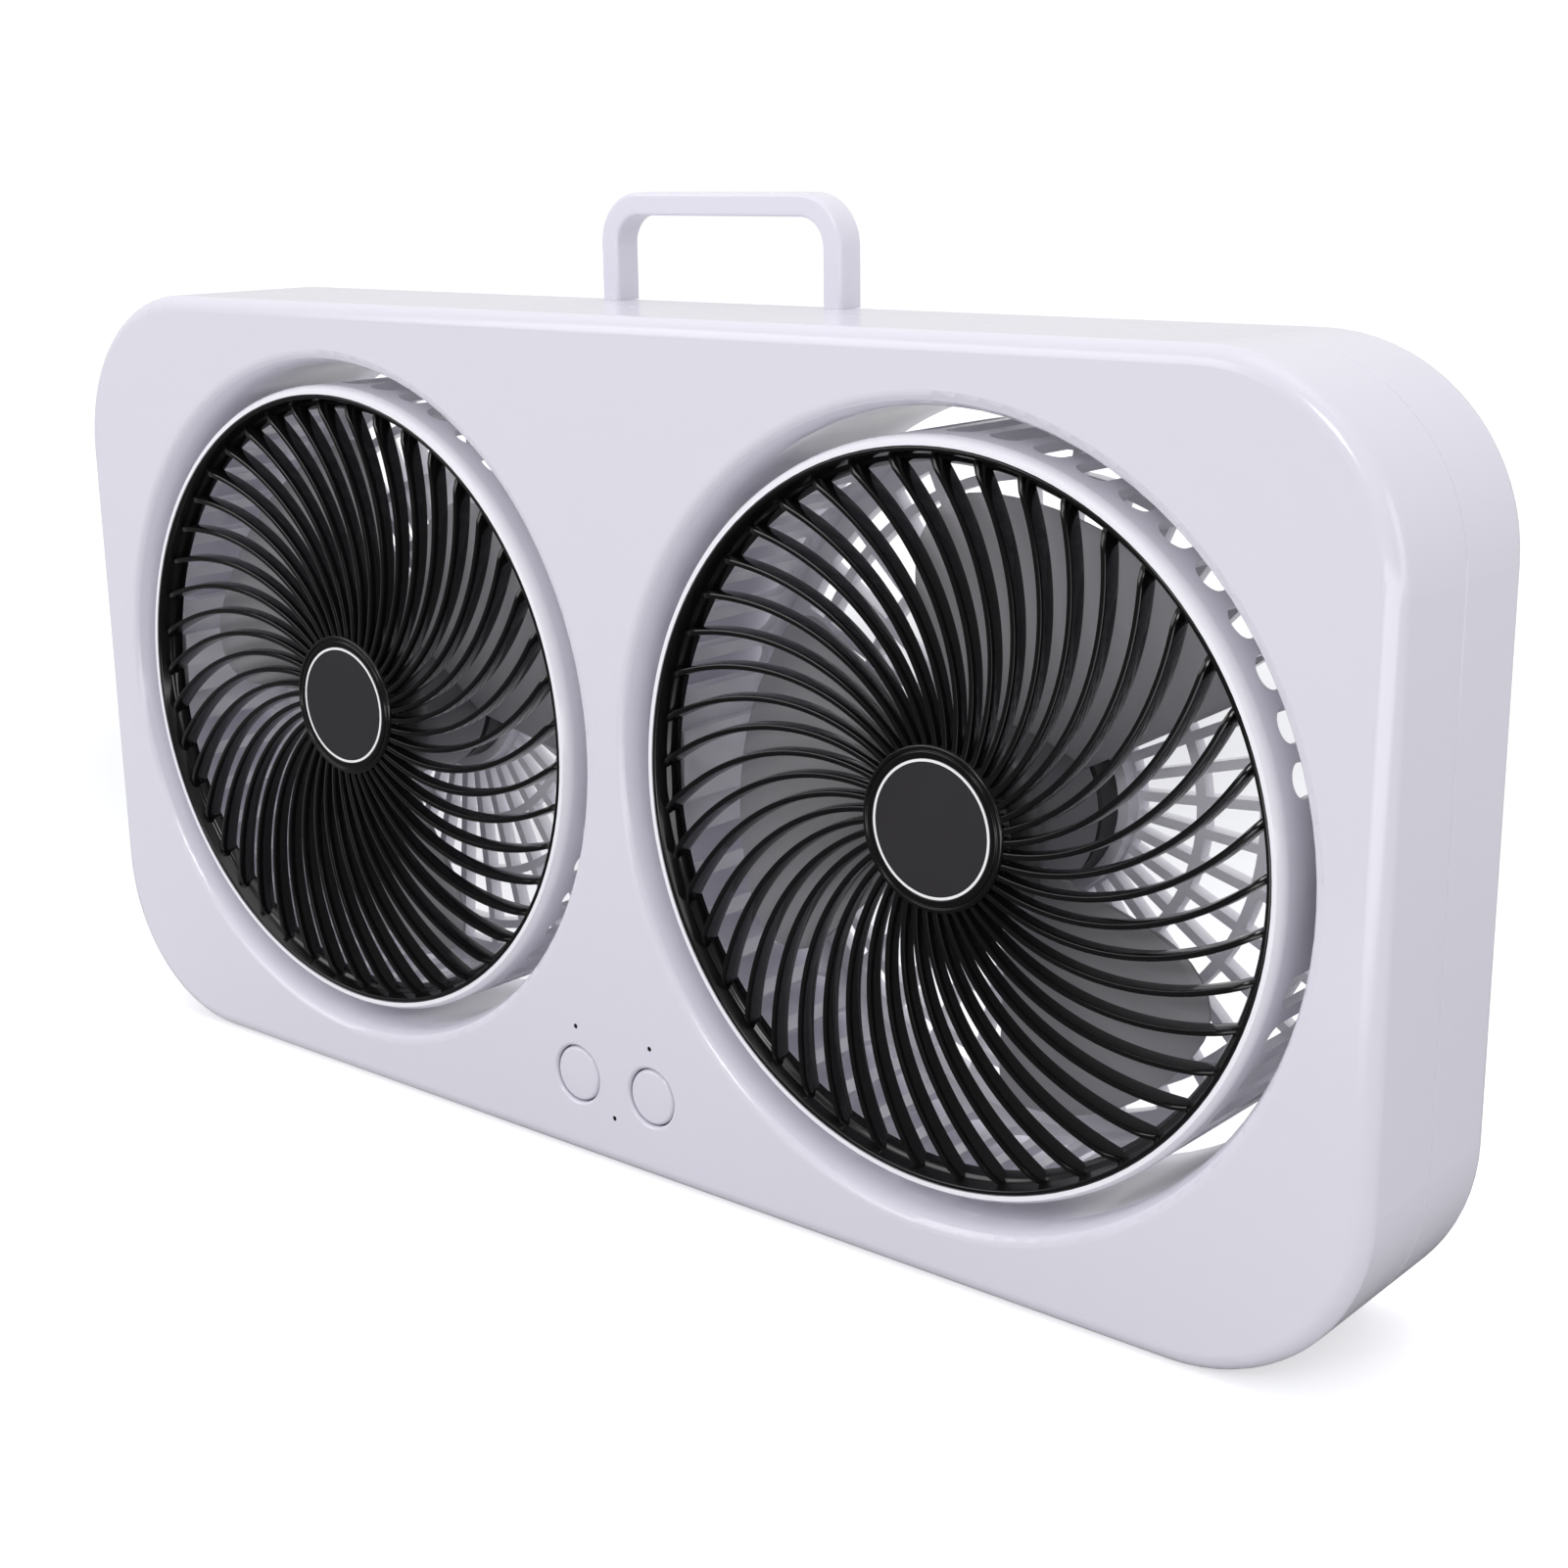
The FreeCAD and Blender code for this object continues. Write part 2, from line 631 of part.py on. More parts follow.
for leg_x in LEG_X:
    box(tenon_sketch, f"{leg_x} - handle_bar / 2", TENON_FRONT, f"{leg_x} + handle_bar / 2", TENON_REAR)
extrude(carry_handle, "Pad", tenon_sketch, "case_wall", reverse=True)
leg_holes = new_sketch(carry_handle, "XY_Plane", out="case_height - case_wall")
for leg_x in LEG_X:
    circle(leg_holes, leg_x, HANDLE_SCREW_Y, "handle_screw_radius + snug_fit")
extrude(carry_handle, "Pocket", leg_holes, "handle_screw_length + clear_gap", reverse=True)
handle_screw = screw("handle_screw", "handle_screw_radius", "handle_screw_length",
                     "handle_screw_head_radius", "handle_screw_head_height")
handle_screws = group("handle_screws", handle_screw,
                      [(x, HANDLE_SCREW_Y, "case_height - case_wall") for x in LEG_X],
                      turn=(Vector(1, 0, 0), "0 - 90"))

# Pivot bushes: plain sleeves clamped between the shells
bush = turned("bush", [
    ("trunnion_radius + run_fit", "tube_radius - bush_proud"),
    (BUSH_RADIUS, "tube_radius - bush_proud"),
    (BUSH_RADIUS, "bush_reach"),
    ("trunnion_radius + run_fit", "bush_reach"),
])
friction_ring = turned("friction_ring", [
    ("trunnion_radius + snug_fit", "drum_radius + snug_fit"),
    ("friction_ring_radius", "drum_radius + snug_fit"),
    ("friction_ring_radius", "tube_radius - bush_proud - clear_gap"),
    ("trunnion_radius + snug_fit", "tube_radius - bush_proud - clear_gap"),
])


def pivot_pair(label, source, x):
    """Two turned pieces that face away from one head along X."""
    pair = doc.addObject("Part::Compound", label)
    pair.Label = label
    pair.Links = [copy_of(f"{label}_{side}", source, x, "0", AXIS_HEIGHT, (Vector(0, 0, 1), angle))
                  for side, angle in (("left", "90"), ("right", "0 - 90"))]
    return pair


pivots = []
for side, head_x in zip(SIDES, HEADS):
    pivots.append(pivot_pair(f"{side}_pivot_bushes", bush, head_x))
    pivots.append(pivot_pair(f"{side}_friction_rings", friction_ring, head_x))

# Rear cage: slotted drum, rear grille, motor collar and trunnions, moulded in one
rear_cage = new_body("left_rear_cage", LEFT_X, "0", AXIS_HEIGHT)
LEDGE_FRONT = "(ring_depth - drum_front)"
LEDGE_REAR = f"({LEDGE_FRONT} + ledge_thickness)"
COLLAR_INNER = "(motor_radius + snug_fit)"
drum_sketch = new_sketch(rear_cage, "XY_Plane")
outline(drum_sketch, [
    (DRUM_INNER, "0 - drum_front"),
    (f"{DRUM_INNER} + drum_lip", "0 - drum_front"),
    ("drum_radius", "shoulder_depth - drum_front"),
    ("drum_radius", "drum_rear - drum_rear_round"),
    ("drum_radius - drum_rear_round", "drum_rear"),
    ("0", "drum_rear"),
    ("0", REAR_FACE),
    (COLLAR_INNER, REAR_FACE),
    (COLLAR_INNER, f"{REAR_FACE} - collar_height"),
    (f"{COLLAR_INNER} + collar_wall", f"{REAR_FACE} - collar_height"),
    (f"{COLLAR_INNER} + collar_wall", REAR_FACE),
    (DRUM_INNER, REAR_FACE),
    (DRUM_INNER, LEDGE_REAR),
    (f"{DRUM_INNER} - ledge_width", LEDGE_REAR),
    (f"{DRUM_INNER} - ledge_width", LEDGE_FRONT),
    (DRUM_INNER, LEDGE_FRONT),
], {1: ("shoulder_round", "left"), 3: ("drum_rear_round", "left")})
spin(rear_cage, "Revolution", drum_sketch)

pad_sketch = new_sketch(rear_cage, "YZ_Plane", out=f"{DRUM_INNER} - pivot_pad_depth")
box(pad_sketch, LEDGE_REAR, "0 - pivot_pad_width / 2", REAR_FACE, "pivot_pad_width / 2")
pivot_pad = extrude(rear_cage, "Pad", pad_sketch, "pivot_pad_depth + drum_wall / 2")
trunnion_sketch = new_sketch(rear_cage, "YZ_Plane", out=DRUM_INNER)
circle(trunnion_sketch, "0", "0", "trunnion_radius")
trunnion = extrude(rear_cage, "Pad", trunnion_sketch, f"trunnion_reach - {DRUM_INNER}")
mirror(rear_cage, [pivot_pad, trunnion])
MOTOR_SCREW_SPOTS = ("0 - motor_screw_offset", "motor_screw_offset")
screw_sketch = new_sketch(rear_cage, "XZ_Plane", out=f"0 - {REAR_FACE}")
for screw_x in MOTOR_SCREW_SPOTS:
    circle(screw_sketch, screw_x, "0", "board_screw_hole_radius")
extrude(rear_cage, "Pocket", screw_sketch, "rear_thickness * 2")

# Side slots: one run over the top and one under the bottom, with almost half-round ends
SLOT_INNER = f"({DRUM_INNER} - drum_wall)"
SLOT_CORNER = "(slot_width * 0.49)"
for middle_angle in ("0", "180"):
    first_angle = f"({middle_angle} - slot_pitch * (slot_steps - 1) / 2)"
    slot_sketch = new_sketch(rear_cage, "XY_Plane", right=f"{SLOT_INNER} * sin({first_angle})",
                             out=f"{SLOT_INNER} * cos({first_angle})", tilt=first_angle)
    round_box(slot_sketch, "0 - slot_width / 2", "0 - slot_front", "slot_width / 2", "slot_rear",
              SLOT_CORNER)
    slot = extrude(rear_cage, "Pocket", slot_sketch, "drum_wall * 3", reverse=True)
    repeat(rear_cage, slot, "slot_steps", "slot_pitch * (slot_steps - 1)")

# Rear windows: what is left between them makes the radial ribs and the rings
window_sketch = new_sketch(rear_cage, "XZ_Plane", out=f"0 - {REAR_FACE}")
for band in range(4):
    inner = f"(rear_disc_radius + rear_ring_pitch * {band} + rear_ring_width / 2 * {min(band, 1)})"
    outer = f"(rear_disc_radius + rear_ring_pitch * {band + 1} - rear_ring_width / 2)"
    if band == 3:
        outer = f"({DRUM_INNER} - rear_rim_width)"
    corners = []
    for radius, side in ((inner, "0 -"), (inner, "0 +"), (outer, "0 +"), (outer, "0 -")):
        half_angle = f"(180 deg / rear_rib_count - asin(rear_rib_width / 2 / {radius}))"
        corners.append((f"{side} {radius} * sin({half_angle})", f"{radius} * cos({half_angle})"))
    outline(window_sketch, corners, {0: (inner, "right"), 2: (outer, "left")})
window = extrude(rear_cage, "Pocket", window_sketch, "rear_thickness * 2")
repeat(rear_cage, window, "rear_rib_count", "360")

# Front grille: rim, swirl ribs and hub disc in one moulding
front_grille = new_body("left_front_grille", LEFT_X, "0", AXIS_HEIGHT, (FAN_AXIS, "left_swirl_angle"))
RIM_RADIUS = f"({DRUM_INNER} - snug_fit * 3)"
RIM_INNER = f"({RIM_RADIUS} - ring_land)"
BADGE_SEAT = "(badge_radius + badge_ring_width + snug_fit * 2)"
FACE = "0 - drum_front"
hub_sketch = new_sketch(front_grille, "XY_Plane")
outline(hub_sketch, [
    ("0", f"{FACE} + badge_depth"),
    (BADGE_SEAT, f"{FACE} + badge_depth"),
    (BADGE_SEAT, FACE),
    ("grille_hub_radius - grille_hub_bevel", FACE),
    ("grille_hub_radius", f"{FACE} + grille_hub_bevel"),
    ("grille_hub_radius", f"{FACE} + grille_hub_depth"),
    ("0", f"{FACE} + grille_hub_depth"),
])
spin(front_grille, "Revolution", hub_sketch)
swirl_sketch = new_sketch(front_grille, "XZ_Plane", out="drum_front - swirl_recess")
half = "swirl_thickness / 2"
ROOT = "(grille_hub_radius - grille_hub_bevel * 2)"
rim_mid = f"({RIM_INNER} + ring_land * 0.3)"
root_x, root_z = f"{ROOT} * sin(swirl_turn)", f"{ROOT} * cos(swirl_turn)"
side_x, side_z = f"{half} * cos(swirl_turn)", f"{half} * sin(swirl_turn)"
outline(swirl_sketch, [
    (half, rim_mid),
    (f"0 - {half}", rim_mid),
    (f"{root_x} - {side_x}", f"{root_z} + {side_z}"),
    (f"{root_x} + {side_x}", f"{root_z} - {side_z}"),
], {1: (f"swirl_bow - {half}", "right"), 3: (f"swirl_bow + {half}", "left")})
swirl = extrude(front_grille, "Pad", swirl_sketch, "swirl_depth", reverse=True)
repeat(front_grille, swirl, "swirl_count", "360")
trim_sketch = new_sketch(front_grille, "XY_Plane")
SWIRL_FACE = "swirl_recess - drum_front"
outline(trim_sketch, [
    (f"{RIM_INNER} - swirl_tip_round", f"{SWIRL_FACE} - swirl_recess * 2"),
    ("drum_radius", f"{SWIRL_FACE} - swirl_recess * 2"),
    ("drum_radius", f"{SWIRL_FACE} + swirl_tip_round"),
    (RIM_INNER, f"{SWIRL_FACE} + swirl_tip_round"),
    (f"{RIM_INNER} - swirl_tip_round", SWIRL_FACE),
], {3: ("swirl_tip_round", "left")})
outline(trim_sketch, [
    (ROOT, f"{FACE} + grille_hub_depth"),
    (f"{RIM_INNER} - swirl_tip_round", f"{SWIRL_FACE} + swirl_depth"),
    (ROOT, f"{SWIRL_FACE} + swirl_depth"),
])
spin(front_grille, "Groove", trim_sketch)
rim_sketch = new_sketch(front_grille, "XY_Plane")
outline(rim_sketch, [
    (RIM_INNER, FACE),
    (RIM_RADIUS, FACE),
    (RIM_RADIUS, LEDGE_FRONT),
    (f"{RIM_INNER} - ring_taper", LEDGE_FRONT),
])
spin(front_grille, "Revolution", rim_sketch)

hub_badge = turned("left_hub_badge", [
    ("0", FACE),
    ("badge_radius", FACE),
    ("badge_radius", f"{FACE} + badge_depth"),
    ("0", f"{FACE} + badge_depth"),
], x=LEFT_X, z=AXIS_HEIGHT)
badge_ring = turned("left_badge_ring", [
    ("badge_radius + snug_fit", FACE),
    ("badge_radius + snug_fit + badge_ring_width", FACE),
    ("badge_radius + snug_fit + badge_ring_width", f"{FACE} + badge_depth"),
    ("badge_radius + snug_fit", f"{FACE} + badge_depth"),
], x=LEFT_X, z=AXIS_HEIGHT)

# Motor: flat can on the rear disc, two screws from behind, shaft to the impeller
motor = turned("left_motor", [
    ("shaft_radius + run_fit", MOTOR_FRONT),
    ("motor_radius - motor_edge", MOTOR_FRONT),
    ("motor_radius", f"{MOTOR_FRONT} + motor_edge"),
    ("motor_radius", REAR_FACE),
    ("shaft_radius + run_fit", REAR_FACE),
], x=LEFT_X, z=AXIS_HEIGHT)
motor_holes = new_sketch(motor, "XZ_Plane", out=f"0 - {REAR_FACE}")
for screw_x in MOTOR_SCREW_SPOTS:
    circle(motor_holes, screw_x, "0", "board_screw_radius + snug_fit")
extrude(motor, "Pocket", motor_holes, "board_screw_length - rear_thickness + clear_gap", reverse=True)
board_screw = screw("board_screw", "board_screw_radius", "board_screw_length",
                    "board_screw_head_radius", "board_screw_head_height")
motor_screws = [
    group(f"{side}_motor_screws", board_screw,
          [(f"{x} + {screw_x}", "drum_rear", AXIS_HEIGHT) for screw_x in MOTOR_SCREW_SPOTS])
    for side, x in zip(SIDES, HEADS)
]
shaft = turned("left_motor_shaft", [
    ("0", f"{HUB_FRONT} + hub_wall"),
    ("shaft_radius", f"{HUB_FRONT} + hub_wall"),
    ("shaft_radius", f"{HUB_FRONT} + hub_wall + shaft_length"),
    ("0", f"{HUB_FRONT} + hub_wall + shaft_length"),
], x=LEFT_X, z=AXIS_HEIGHT)

# Impeller: cup hub with three wide blades that lean back clockwise
impeller = new_body("left_impeller", LEFT_X, "0", AXIS_HEIGHT, (FAN_AXIS, "left_blade_angle"))
BLADE_MIDDLE = f"({HUB_REAR} - hub_length / 2)"
HUB_INNER = "(hub_radius - hub_wall)"
cup_sketch = new_sketch(impeller, "XY_Plane")
outline(cup_sketch, [
    ("0", HUB_FRONT),
    ("hub_radius - hub_round", HUB_FRONT),
    ("hub_radius", f"{HUB_FRONT} + hub_round"),
    ("hub_radius", HUB_REAR),
    ("0", HUB_REAR),
], {1: ("hub_round", "left")})
spin(impeller, "Revolution", cup_sketch)


def blade_section(reach):
    """Slanted strip across the blade at one distance from the axis."""
    sketch = new_sketch(impeller, "XY_Plane", out=reach)
    half_width = f"{reach} * tan(blade_half_angle)"
    front = f"{BLADE_MIDDLE} - blade_rise / 2"
    back = f"{BLADE_MIDDLE} + blade_rise / 2"
    outline(sketch, [
        (f"0 - {half_width}", f"{front} - blade_thickness / 2"),
        (half_width, f"{back} - blade_thickness / 2"),
        (half_width, f"{back} + blade_thickness / 2"),
        (f"0 - {half_width}", f"{front} + blade_thickness / 2"),
    ])
    return sketch


BLADE_ROOT = "(hub_radius * 0.7)"
root_section, tip_section = blade_section(BLADE_ROOT), blade_section("blade_radius")
blade = add_feature(impeller, "AdditiveLoft", root_section)
blade.Sections = [tip_section]
blade.Ruled = True
finish(blade)
repeat(impeller, blade, "blade_count", "360")
trim_sketch = new_sketch(impeller, "XY_Plane")
trim_front = f"({BLADE_MIDDLE} - blade_rise / 2 - blade_thickness)"
trim_rear = f"({BLADE_MIDDLE} + blade_rise / 2 + blade_thickness)"
outline(trim_sketch, [
    ("blade_radius - blade_corner", trim_front),
    ("blade_radius * 2", trim_front),
    ("blade_radius * 2", trim_rear),
    ("blade_radius - blade_corner", trim_rear),
    ("blade_radius", f"{trim_rear} - blade_corner"),
    ("blade_radius", f"{trim_front} + blade_corner"),
], {3: ("blade_corner", "right"), 5: ("blade_corner", "right")})
spin(impeller, "Groove", trim_sketch)
hollow_sketch = new_sketch(impeller, "XY_Plane")
outline(hollow_sketch, [
    ("hub_boss_radius", f"{HUB_FRONT} + hub_wall"),
    (HUB_INNER, f"{HUB_FRONT} + hub_wall"),
    (HUB_INNER, f"{HUB_REAR} + blade_rise"),
    ("0", f"{HUB_REAR} + blade_rise"),
    ("0", f"{HUB_FRONT} + hub_wall + hub_boss_length"),
    ("hub_boss_radius", f"{HUB_FRONT} + hub_wall + hub_boss_length"),
])
spin(impeller, "Groove", hollow_sketch)
shaft_sketch = new_sketch(impeller, "XZ_Plane", out=f"0 - ({HUB_FRONT} + hub_wall)")
circle(shaft_sketch, "0", "0", "shaft_radius + snug_fit")
extrude(impeller, "Pocket", shaft_sketch, "hub_length")

head_pieces = [rear_cage, front_grille, hub_badge, badge_ring, motor, shaft, impeller]
right_turns = {front_grille: (FAN_AXIS, "right_swirl_angle"), impeller: (FAN_AXIS, "right_blade_angle")}
right_pieces = [
    copy_of(piece.Label.replace("left", "right"), piece, RIGHT_X, "0", AXIS_HEIGHT, right_turns.get(piece))
    for piece in head_pieces
]

# Buttons: flush caps with a flange behind the front wall and a stem over the switch
CAP_FACE = f"0 - {HALF_DEPTH}"
FLANGE_FRONT = f"(clear_gap - {INNER_DEPTH})"
PLUNGER_TOP = f"({BOARD_FRONT} - switch_body - plunger_height)"
left_button = turned("left_button", [
    ("0", CAP_FACE),
    ("button_radius - button_edge", CAP_FACE),
    ("button_radius", f"{CAP_FACE} + button_edge"),
    ("button_radius", FLANGE_FRONT),
    ("button_radius + button_flange", FLANGE_FRONT),
    ("button_radius + button_flange", f"{FLANGE_FRONT} + button_flange_depth"),
    ("button_stem_radius", f"{FLANGE_FRONT} + button_flange_depth"),
    ("button_stem_radius", f"{PLUNGER_TOP} - button_travel - snug_fit * 2"),
    ("0", f"{PLUNGER_TOP} - button_travel - snug_fit * 2"),
], {1: ("button_edge", "left")}, x=BUTTON_X[0], z="button_height")
right_button = copy_of("right_button", left_button, BUTTON_X[1], "0", "button_height")

# Control board on four posts, with switches, lamps and light pipes
control_board = new_body("control_board")
board_sketch = new_sketch(control_board, "XZ_Plane", out=f"0 - {BOARD_REAR}")
box(board_sketch, "0 - board_width / 2", "board_bottom", "board_width / 2", "board_top")
for post_x, post_z in POST_SPOTS:
    circle(board_sketch, post_x, post_z, "board_screw_hole_radius")
extrude(control_board, "Pad", board_sketch, "board_thickness")
board_screws = group("board_screws", board_screw, [(x, BOARD_REAR, z) for x, z in POST_SPOTS])

switch = new_body("switch")
switch_sketch = new_sketch(switch, "XZ_Plane")
box(switch_sketch, "0 - switch_width / 2", "0 - switch_width / 2", "switch_width / 2", "switch_width / 2")
extrude(switch, "Pad", switch_sketch, "switch_body")
plunger_sketch = new_sketch(switch, "XZ_Plane")
circle(plunger_sketch, "0", "0", "plunger_radius")
extrude(switch, "Pad", plunger_sketch, "switch_body + plunger_height")
tact_switches = group("tact_switches", switch, [(x, BOARD_FRONT, "button_height") for x in BUTTON_X])

lamp = new_body("lamp")
lamp_sketch = new_sketch(lamp, "XZ_Plane")
box(lamp_sketch, "0 - led_width / 2", "0 - led_width / 4", "led_width / 2", "led_width / 4")
extrude(lamp, "Pad", lamp_sketch, "led_height")
indicator_leds = group("indicator_leds", lamp, [(x, BOARD_FRONT, z) for x, z in DOT_SPOTS])

WALL_BACK = f"(0 - {INNER_DEPTH})"
pipe = turned("pipe", [
    ("0", f"{CAP_FACE} + dot_recess"),
    ("dot_radius - snug_fit", f"{CAP_FACE} + dot_recess"),
    ("dot_radius - snug_fit", WALL_BACK),
    ("pipe_collar_radius", WALL_BACK),
    ("pipe_collar_radius", f"{WALL_BACK} + pipe_collar_depth"),
    ("pipe_radius", f"{WALL_BACK} + pipe_collar_depth"),
    ("pipe_radius", f"{BOARD_FRONT} - led_height - clear_gap"),
    ("0", f"{BOARD_FRONT} - led_height - clear_gap"),
])
light_pipes = group("light_pipes", pipe, [(x, "0", z) for x, z in DOT_SPOTS])

# Battery: one cell in a trough against the rear wall and floor
battery_cell = turned("battery_cell", [
    ("0", "0 - cell_length / 2"),
    ("cell_radius - cell_edge", "0 - cell_length / 2"),
    ("cell_radius", "cell_edge - cell_length / 2"),
    ("cell_radius", "cell_length / 2 - cell_nub_height - cell_edge"),
    ("cell_radius - cell_edge", "cell_length / 2 - cell_nub_height"),
    ("cell_nub_radius", "cell_length / 2 - cell_nub_height"),
    ("cell_nub_radius", "cell_length / 2"),
    ("0", "cell_length / 2"),
], y=CELL_Y, z=CELL_Z, turn=(Vector(0, 0, 1), "0 - 90"))
battery_cradle = new_body("battery_cradle")
cradle_sketch = new_sketch(battery_cradle, "YZ_Plane")
box(cradle_sketch, CELL_Y, "case_wall", INNER_DEPTH, f"{CELL_Z} + cradle_rise")
extrude(battery_cradle, "Pad", cradle_sketch, "cell_length + clear_gap * 2 + cradle_wall * 2", middle=True)
trough_sketch = new_sketch(battery_cradle, "YZ_Plane")
circle(trough_sketch, CELL_Y, CELL_Z, "cell_radius + clear_gap")
extrude(battery_cradle, "Pocket", trough_sketch, "cell_length + clear_gap * 2", middle=True)

# Charging inlet: small board on the shelf with the port through the rear wall
charge_board = new_body("charge_board")
charge_sketch = new_sketch(charge_board, "XY_Plane", out="shelf_top")
box(charge_sketch, "0 - shelf_width / 2", SHELF_FRONT, "shelf_width / 2", f"{INNER_DEPTH} - clear_gap")
for hole_x, hole_y in CHARGE_SCREW_SPOTS:
    circle(charge_sketch, hole_x, hole_y, "board_screw_hole_radius")
extrude(charge_board, "Pad", charge_sketch, "charge_board_thickness")
charge_screw = screw("charge_screw", "board_screw_radius", "shelf_thickness + charge_board_thickness",
                     "board_screw_head_radius", "board_screw_head_height")
charge_board_screws = group("charge_board_screws", charge_screw,
                            [(x, y, PORT_BOTTOM) for x, y in CHARGE_SCREW_SPOTS],
                            turn=(Vector(1, 0, 0), "90"))
usb_port = new_body("usb_charge_port")
PORT_REAR = f"({HALF_DEPTH} - clear_gap)"
PORT_CORNER = "(port_height * 0.4)"
shell_sketch = new_sketch(usb_port, "XZ_Plane", out=f"0 - {PORT_REAR}")
round_box(shell_sketch, "0 - port_width / 2", PORT_BOTTOM, "port_width / 2", f"{PORT_BOTTOM} + port_height",
          PORT_CORNER)
extrude(usb_port, "Pad", shell_sketch, "port_length")
mouth_sketch = new_sketch(usb_port, "XZ_Plane", out=f"0 - {PORT_REAR}")
round_box(mouth_sketch, "port_skin - port_width / 2", f"{PORT_BOTTOM} + port_skin",
          "port_width / 2 - port_skin", f"{PORT_BOTTOM} + port_height - port_skin",
          f"({PORT_CORNER} - port_skin)")
extrude(usb_port, "Pocket", mouth_sketch, "port_length - port_skin * 3", reverse=True)
tongue_sketch = new_sketch(usb_port, "XZ_Plane", out=f"port_length - {PORT_REAR}")
tongue_middle = f"{PORT_BOTTOM} + port_height / 2"
box(tongue_sketch, "0 - port_tongue_width / 2", f"{tongue_middle} - port_tongue_height / 2",
    "port_tongue_width / 2", f"{tongue_middle} + port_tongue_height / 2")
extrude(usb_port, "Pad", tongue_sketch, "port_length - port_skin * 2", reverse=True)

doc.recompute()

pieces = [
    front_shell, rear_shell, case_screws, carry_handle, handle_screws, *pivots,
    *head_pieces, *right_pieces, *motor_screws, left_button, right_button,
    control_board, board_screws, tact_switches, indicator_leds, light_pipes,
    battery_cell, battery_cradle, charge_board, charge_board_screws, usb_port,
]
broken = [item.Label for item in doc.Objects if {"Invalid", "Error"} & set(item.State)]
if broken:
    raise RuntimeError(f"failed to build: {broken}")
os.makedirs("parts", exist_ok=True)
for piece in pieces:
    shape = Part.getShape(piece)
    if shape.isNull() or not shape.isValid():
        raise RuntimeError(f"{piece.Label} is not a sound solid")
    shape.exportStep(f"parts/{piece.Label}.step")
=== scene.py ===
import math

import bmesh
import bpy
from mathutils import Matrix, Vector


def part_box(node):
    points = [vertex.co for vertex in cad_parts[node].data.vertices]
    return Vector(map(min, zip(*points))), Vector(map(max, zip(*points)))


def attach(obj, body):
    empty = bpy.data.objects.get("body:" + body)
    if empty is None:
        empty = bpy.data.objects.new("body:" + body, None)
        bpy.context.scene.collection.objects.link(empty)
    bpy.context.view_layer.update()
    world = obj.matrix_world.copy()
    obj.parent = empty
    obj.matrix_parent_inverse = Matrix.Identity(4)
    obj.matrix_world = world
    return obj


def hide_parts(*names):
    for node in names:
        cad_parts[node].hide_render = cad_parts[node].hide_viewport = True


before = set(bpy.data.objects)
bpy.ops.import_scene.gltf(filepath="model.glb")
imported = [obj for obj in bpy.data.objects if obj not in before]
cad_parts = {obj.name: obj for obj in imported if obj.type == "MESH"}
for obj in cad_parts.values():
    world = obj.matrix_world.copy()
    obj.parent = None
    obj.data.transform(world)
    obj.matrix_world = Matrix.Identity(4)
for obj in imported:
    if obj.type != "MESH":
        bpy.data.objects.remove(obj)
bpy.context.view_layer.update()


# The case: two halves injection moulded in a cool white plastic with a satin gloss.
# They meet in a fine bevelled seam at mid depth, and each carries half of both air tubes.
# The mould leaves a very fine grain, and tone and gloss drift a little over the large faces.
CASE_WHITE = (0.665, 0.650, 0.730, 1.0)
GRAIN_DEPTH = 0.0002


def feed(tree, node, inputs):
    """Set inputs of a node, by label or number, each to a value or to a socket that it reads."""
    for label, given in inputs.items():
        if isinstance(given, bpy.types.NodeSocket):
            tree.links.new(given, node.inputs[label])
        else:
            node.inputs[label].default_value = given


def add_node(tree, kind, inputs, operation=None):
    """New node in a tree with its inputs fed."""
    node = tree.nodes.new(kind)
    if operation:
        node.operation = operation
    feed(tree, node, inputs)
    return node


def noise_in(tree, scale, detail, roughness=0.5):
    """Noise over the piece's own coordinates."""
    place = add_node(tree, "ShaderNodeTexCoord", {}).outputs["Object"]
    noise = add_node(tree, "ShaderNodeTexNoise", {"Vector": place, "Scale": scale, "Detail": detail,
                                                  "Roughness": roughness})
    return noise.outputs["Fac"]


def moulded_skin_group():
    """Tone drift, gloss drift and fine grain of a moulded plastic face."""
    group = bpy.data.node_groups.new("moulded_skin", "ShaderNodeTree")
    for label in ("Colour", "Drift", "Grain", "Smooth", "Rough"):
        kind = "NodeSocketColor" if label == "Colour" else "NodeSocketFloat"
        group.interface.new_socket(name=label, in_out="INPUT", socket_type=kind)
    for label in ("Colour", "Roughness", "Height"):
        kind = "NodeSocketColor" if label == "Colour" else "NodeSocketFloat"
        group.interface.new_socket(name=label, in_out="OUTPUT", socket_type=kind)
    given = group.nodes.new("NodeGroupInput").outputs

    drift = noise_in(group, scale=16.0, detail=4.0)
    centred = add_node(group, "ShaderNodeMath", {0: drift, 1: 0.5}, "SUBTRACT")
    level = add_node(group, "ShaderNodeMath", {0: centred.outputs[0], 1: given["Drift"], 2: 1.0},
                     "MULTIPLY_ADD")
    tone = add_node(group, "ShaderNodeVectorMath", {0: given["Colour"], "Scale": level.outputs[0]}, "SCALE")
    sheen = noise_in(group, scale=45.0, detail=6.0, roughness=0.65)
    gloss = add_node(group, "ShaderNodeMapRange", {"Value": sheen, "From Min": 0.3, "From Max": 0.7,
                                                   "To Min": given["Smooth"], "To Max": given["Rough"]})
    grain = noise_in(group, scale=given["Grain"], detail=2.0)
    add_node(group, "NodeGroupOutput", {"Colour": tone.outputs[0], "Roughness": gloss.outputs["Result"],
                                        "Height": grain})
    return group


moulded_skin = moulded_skin_group()


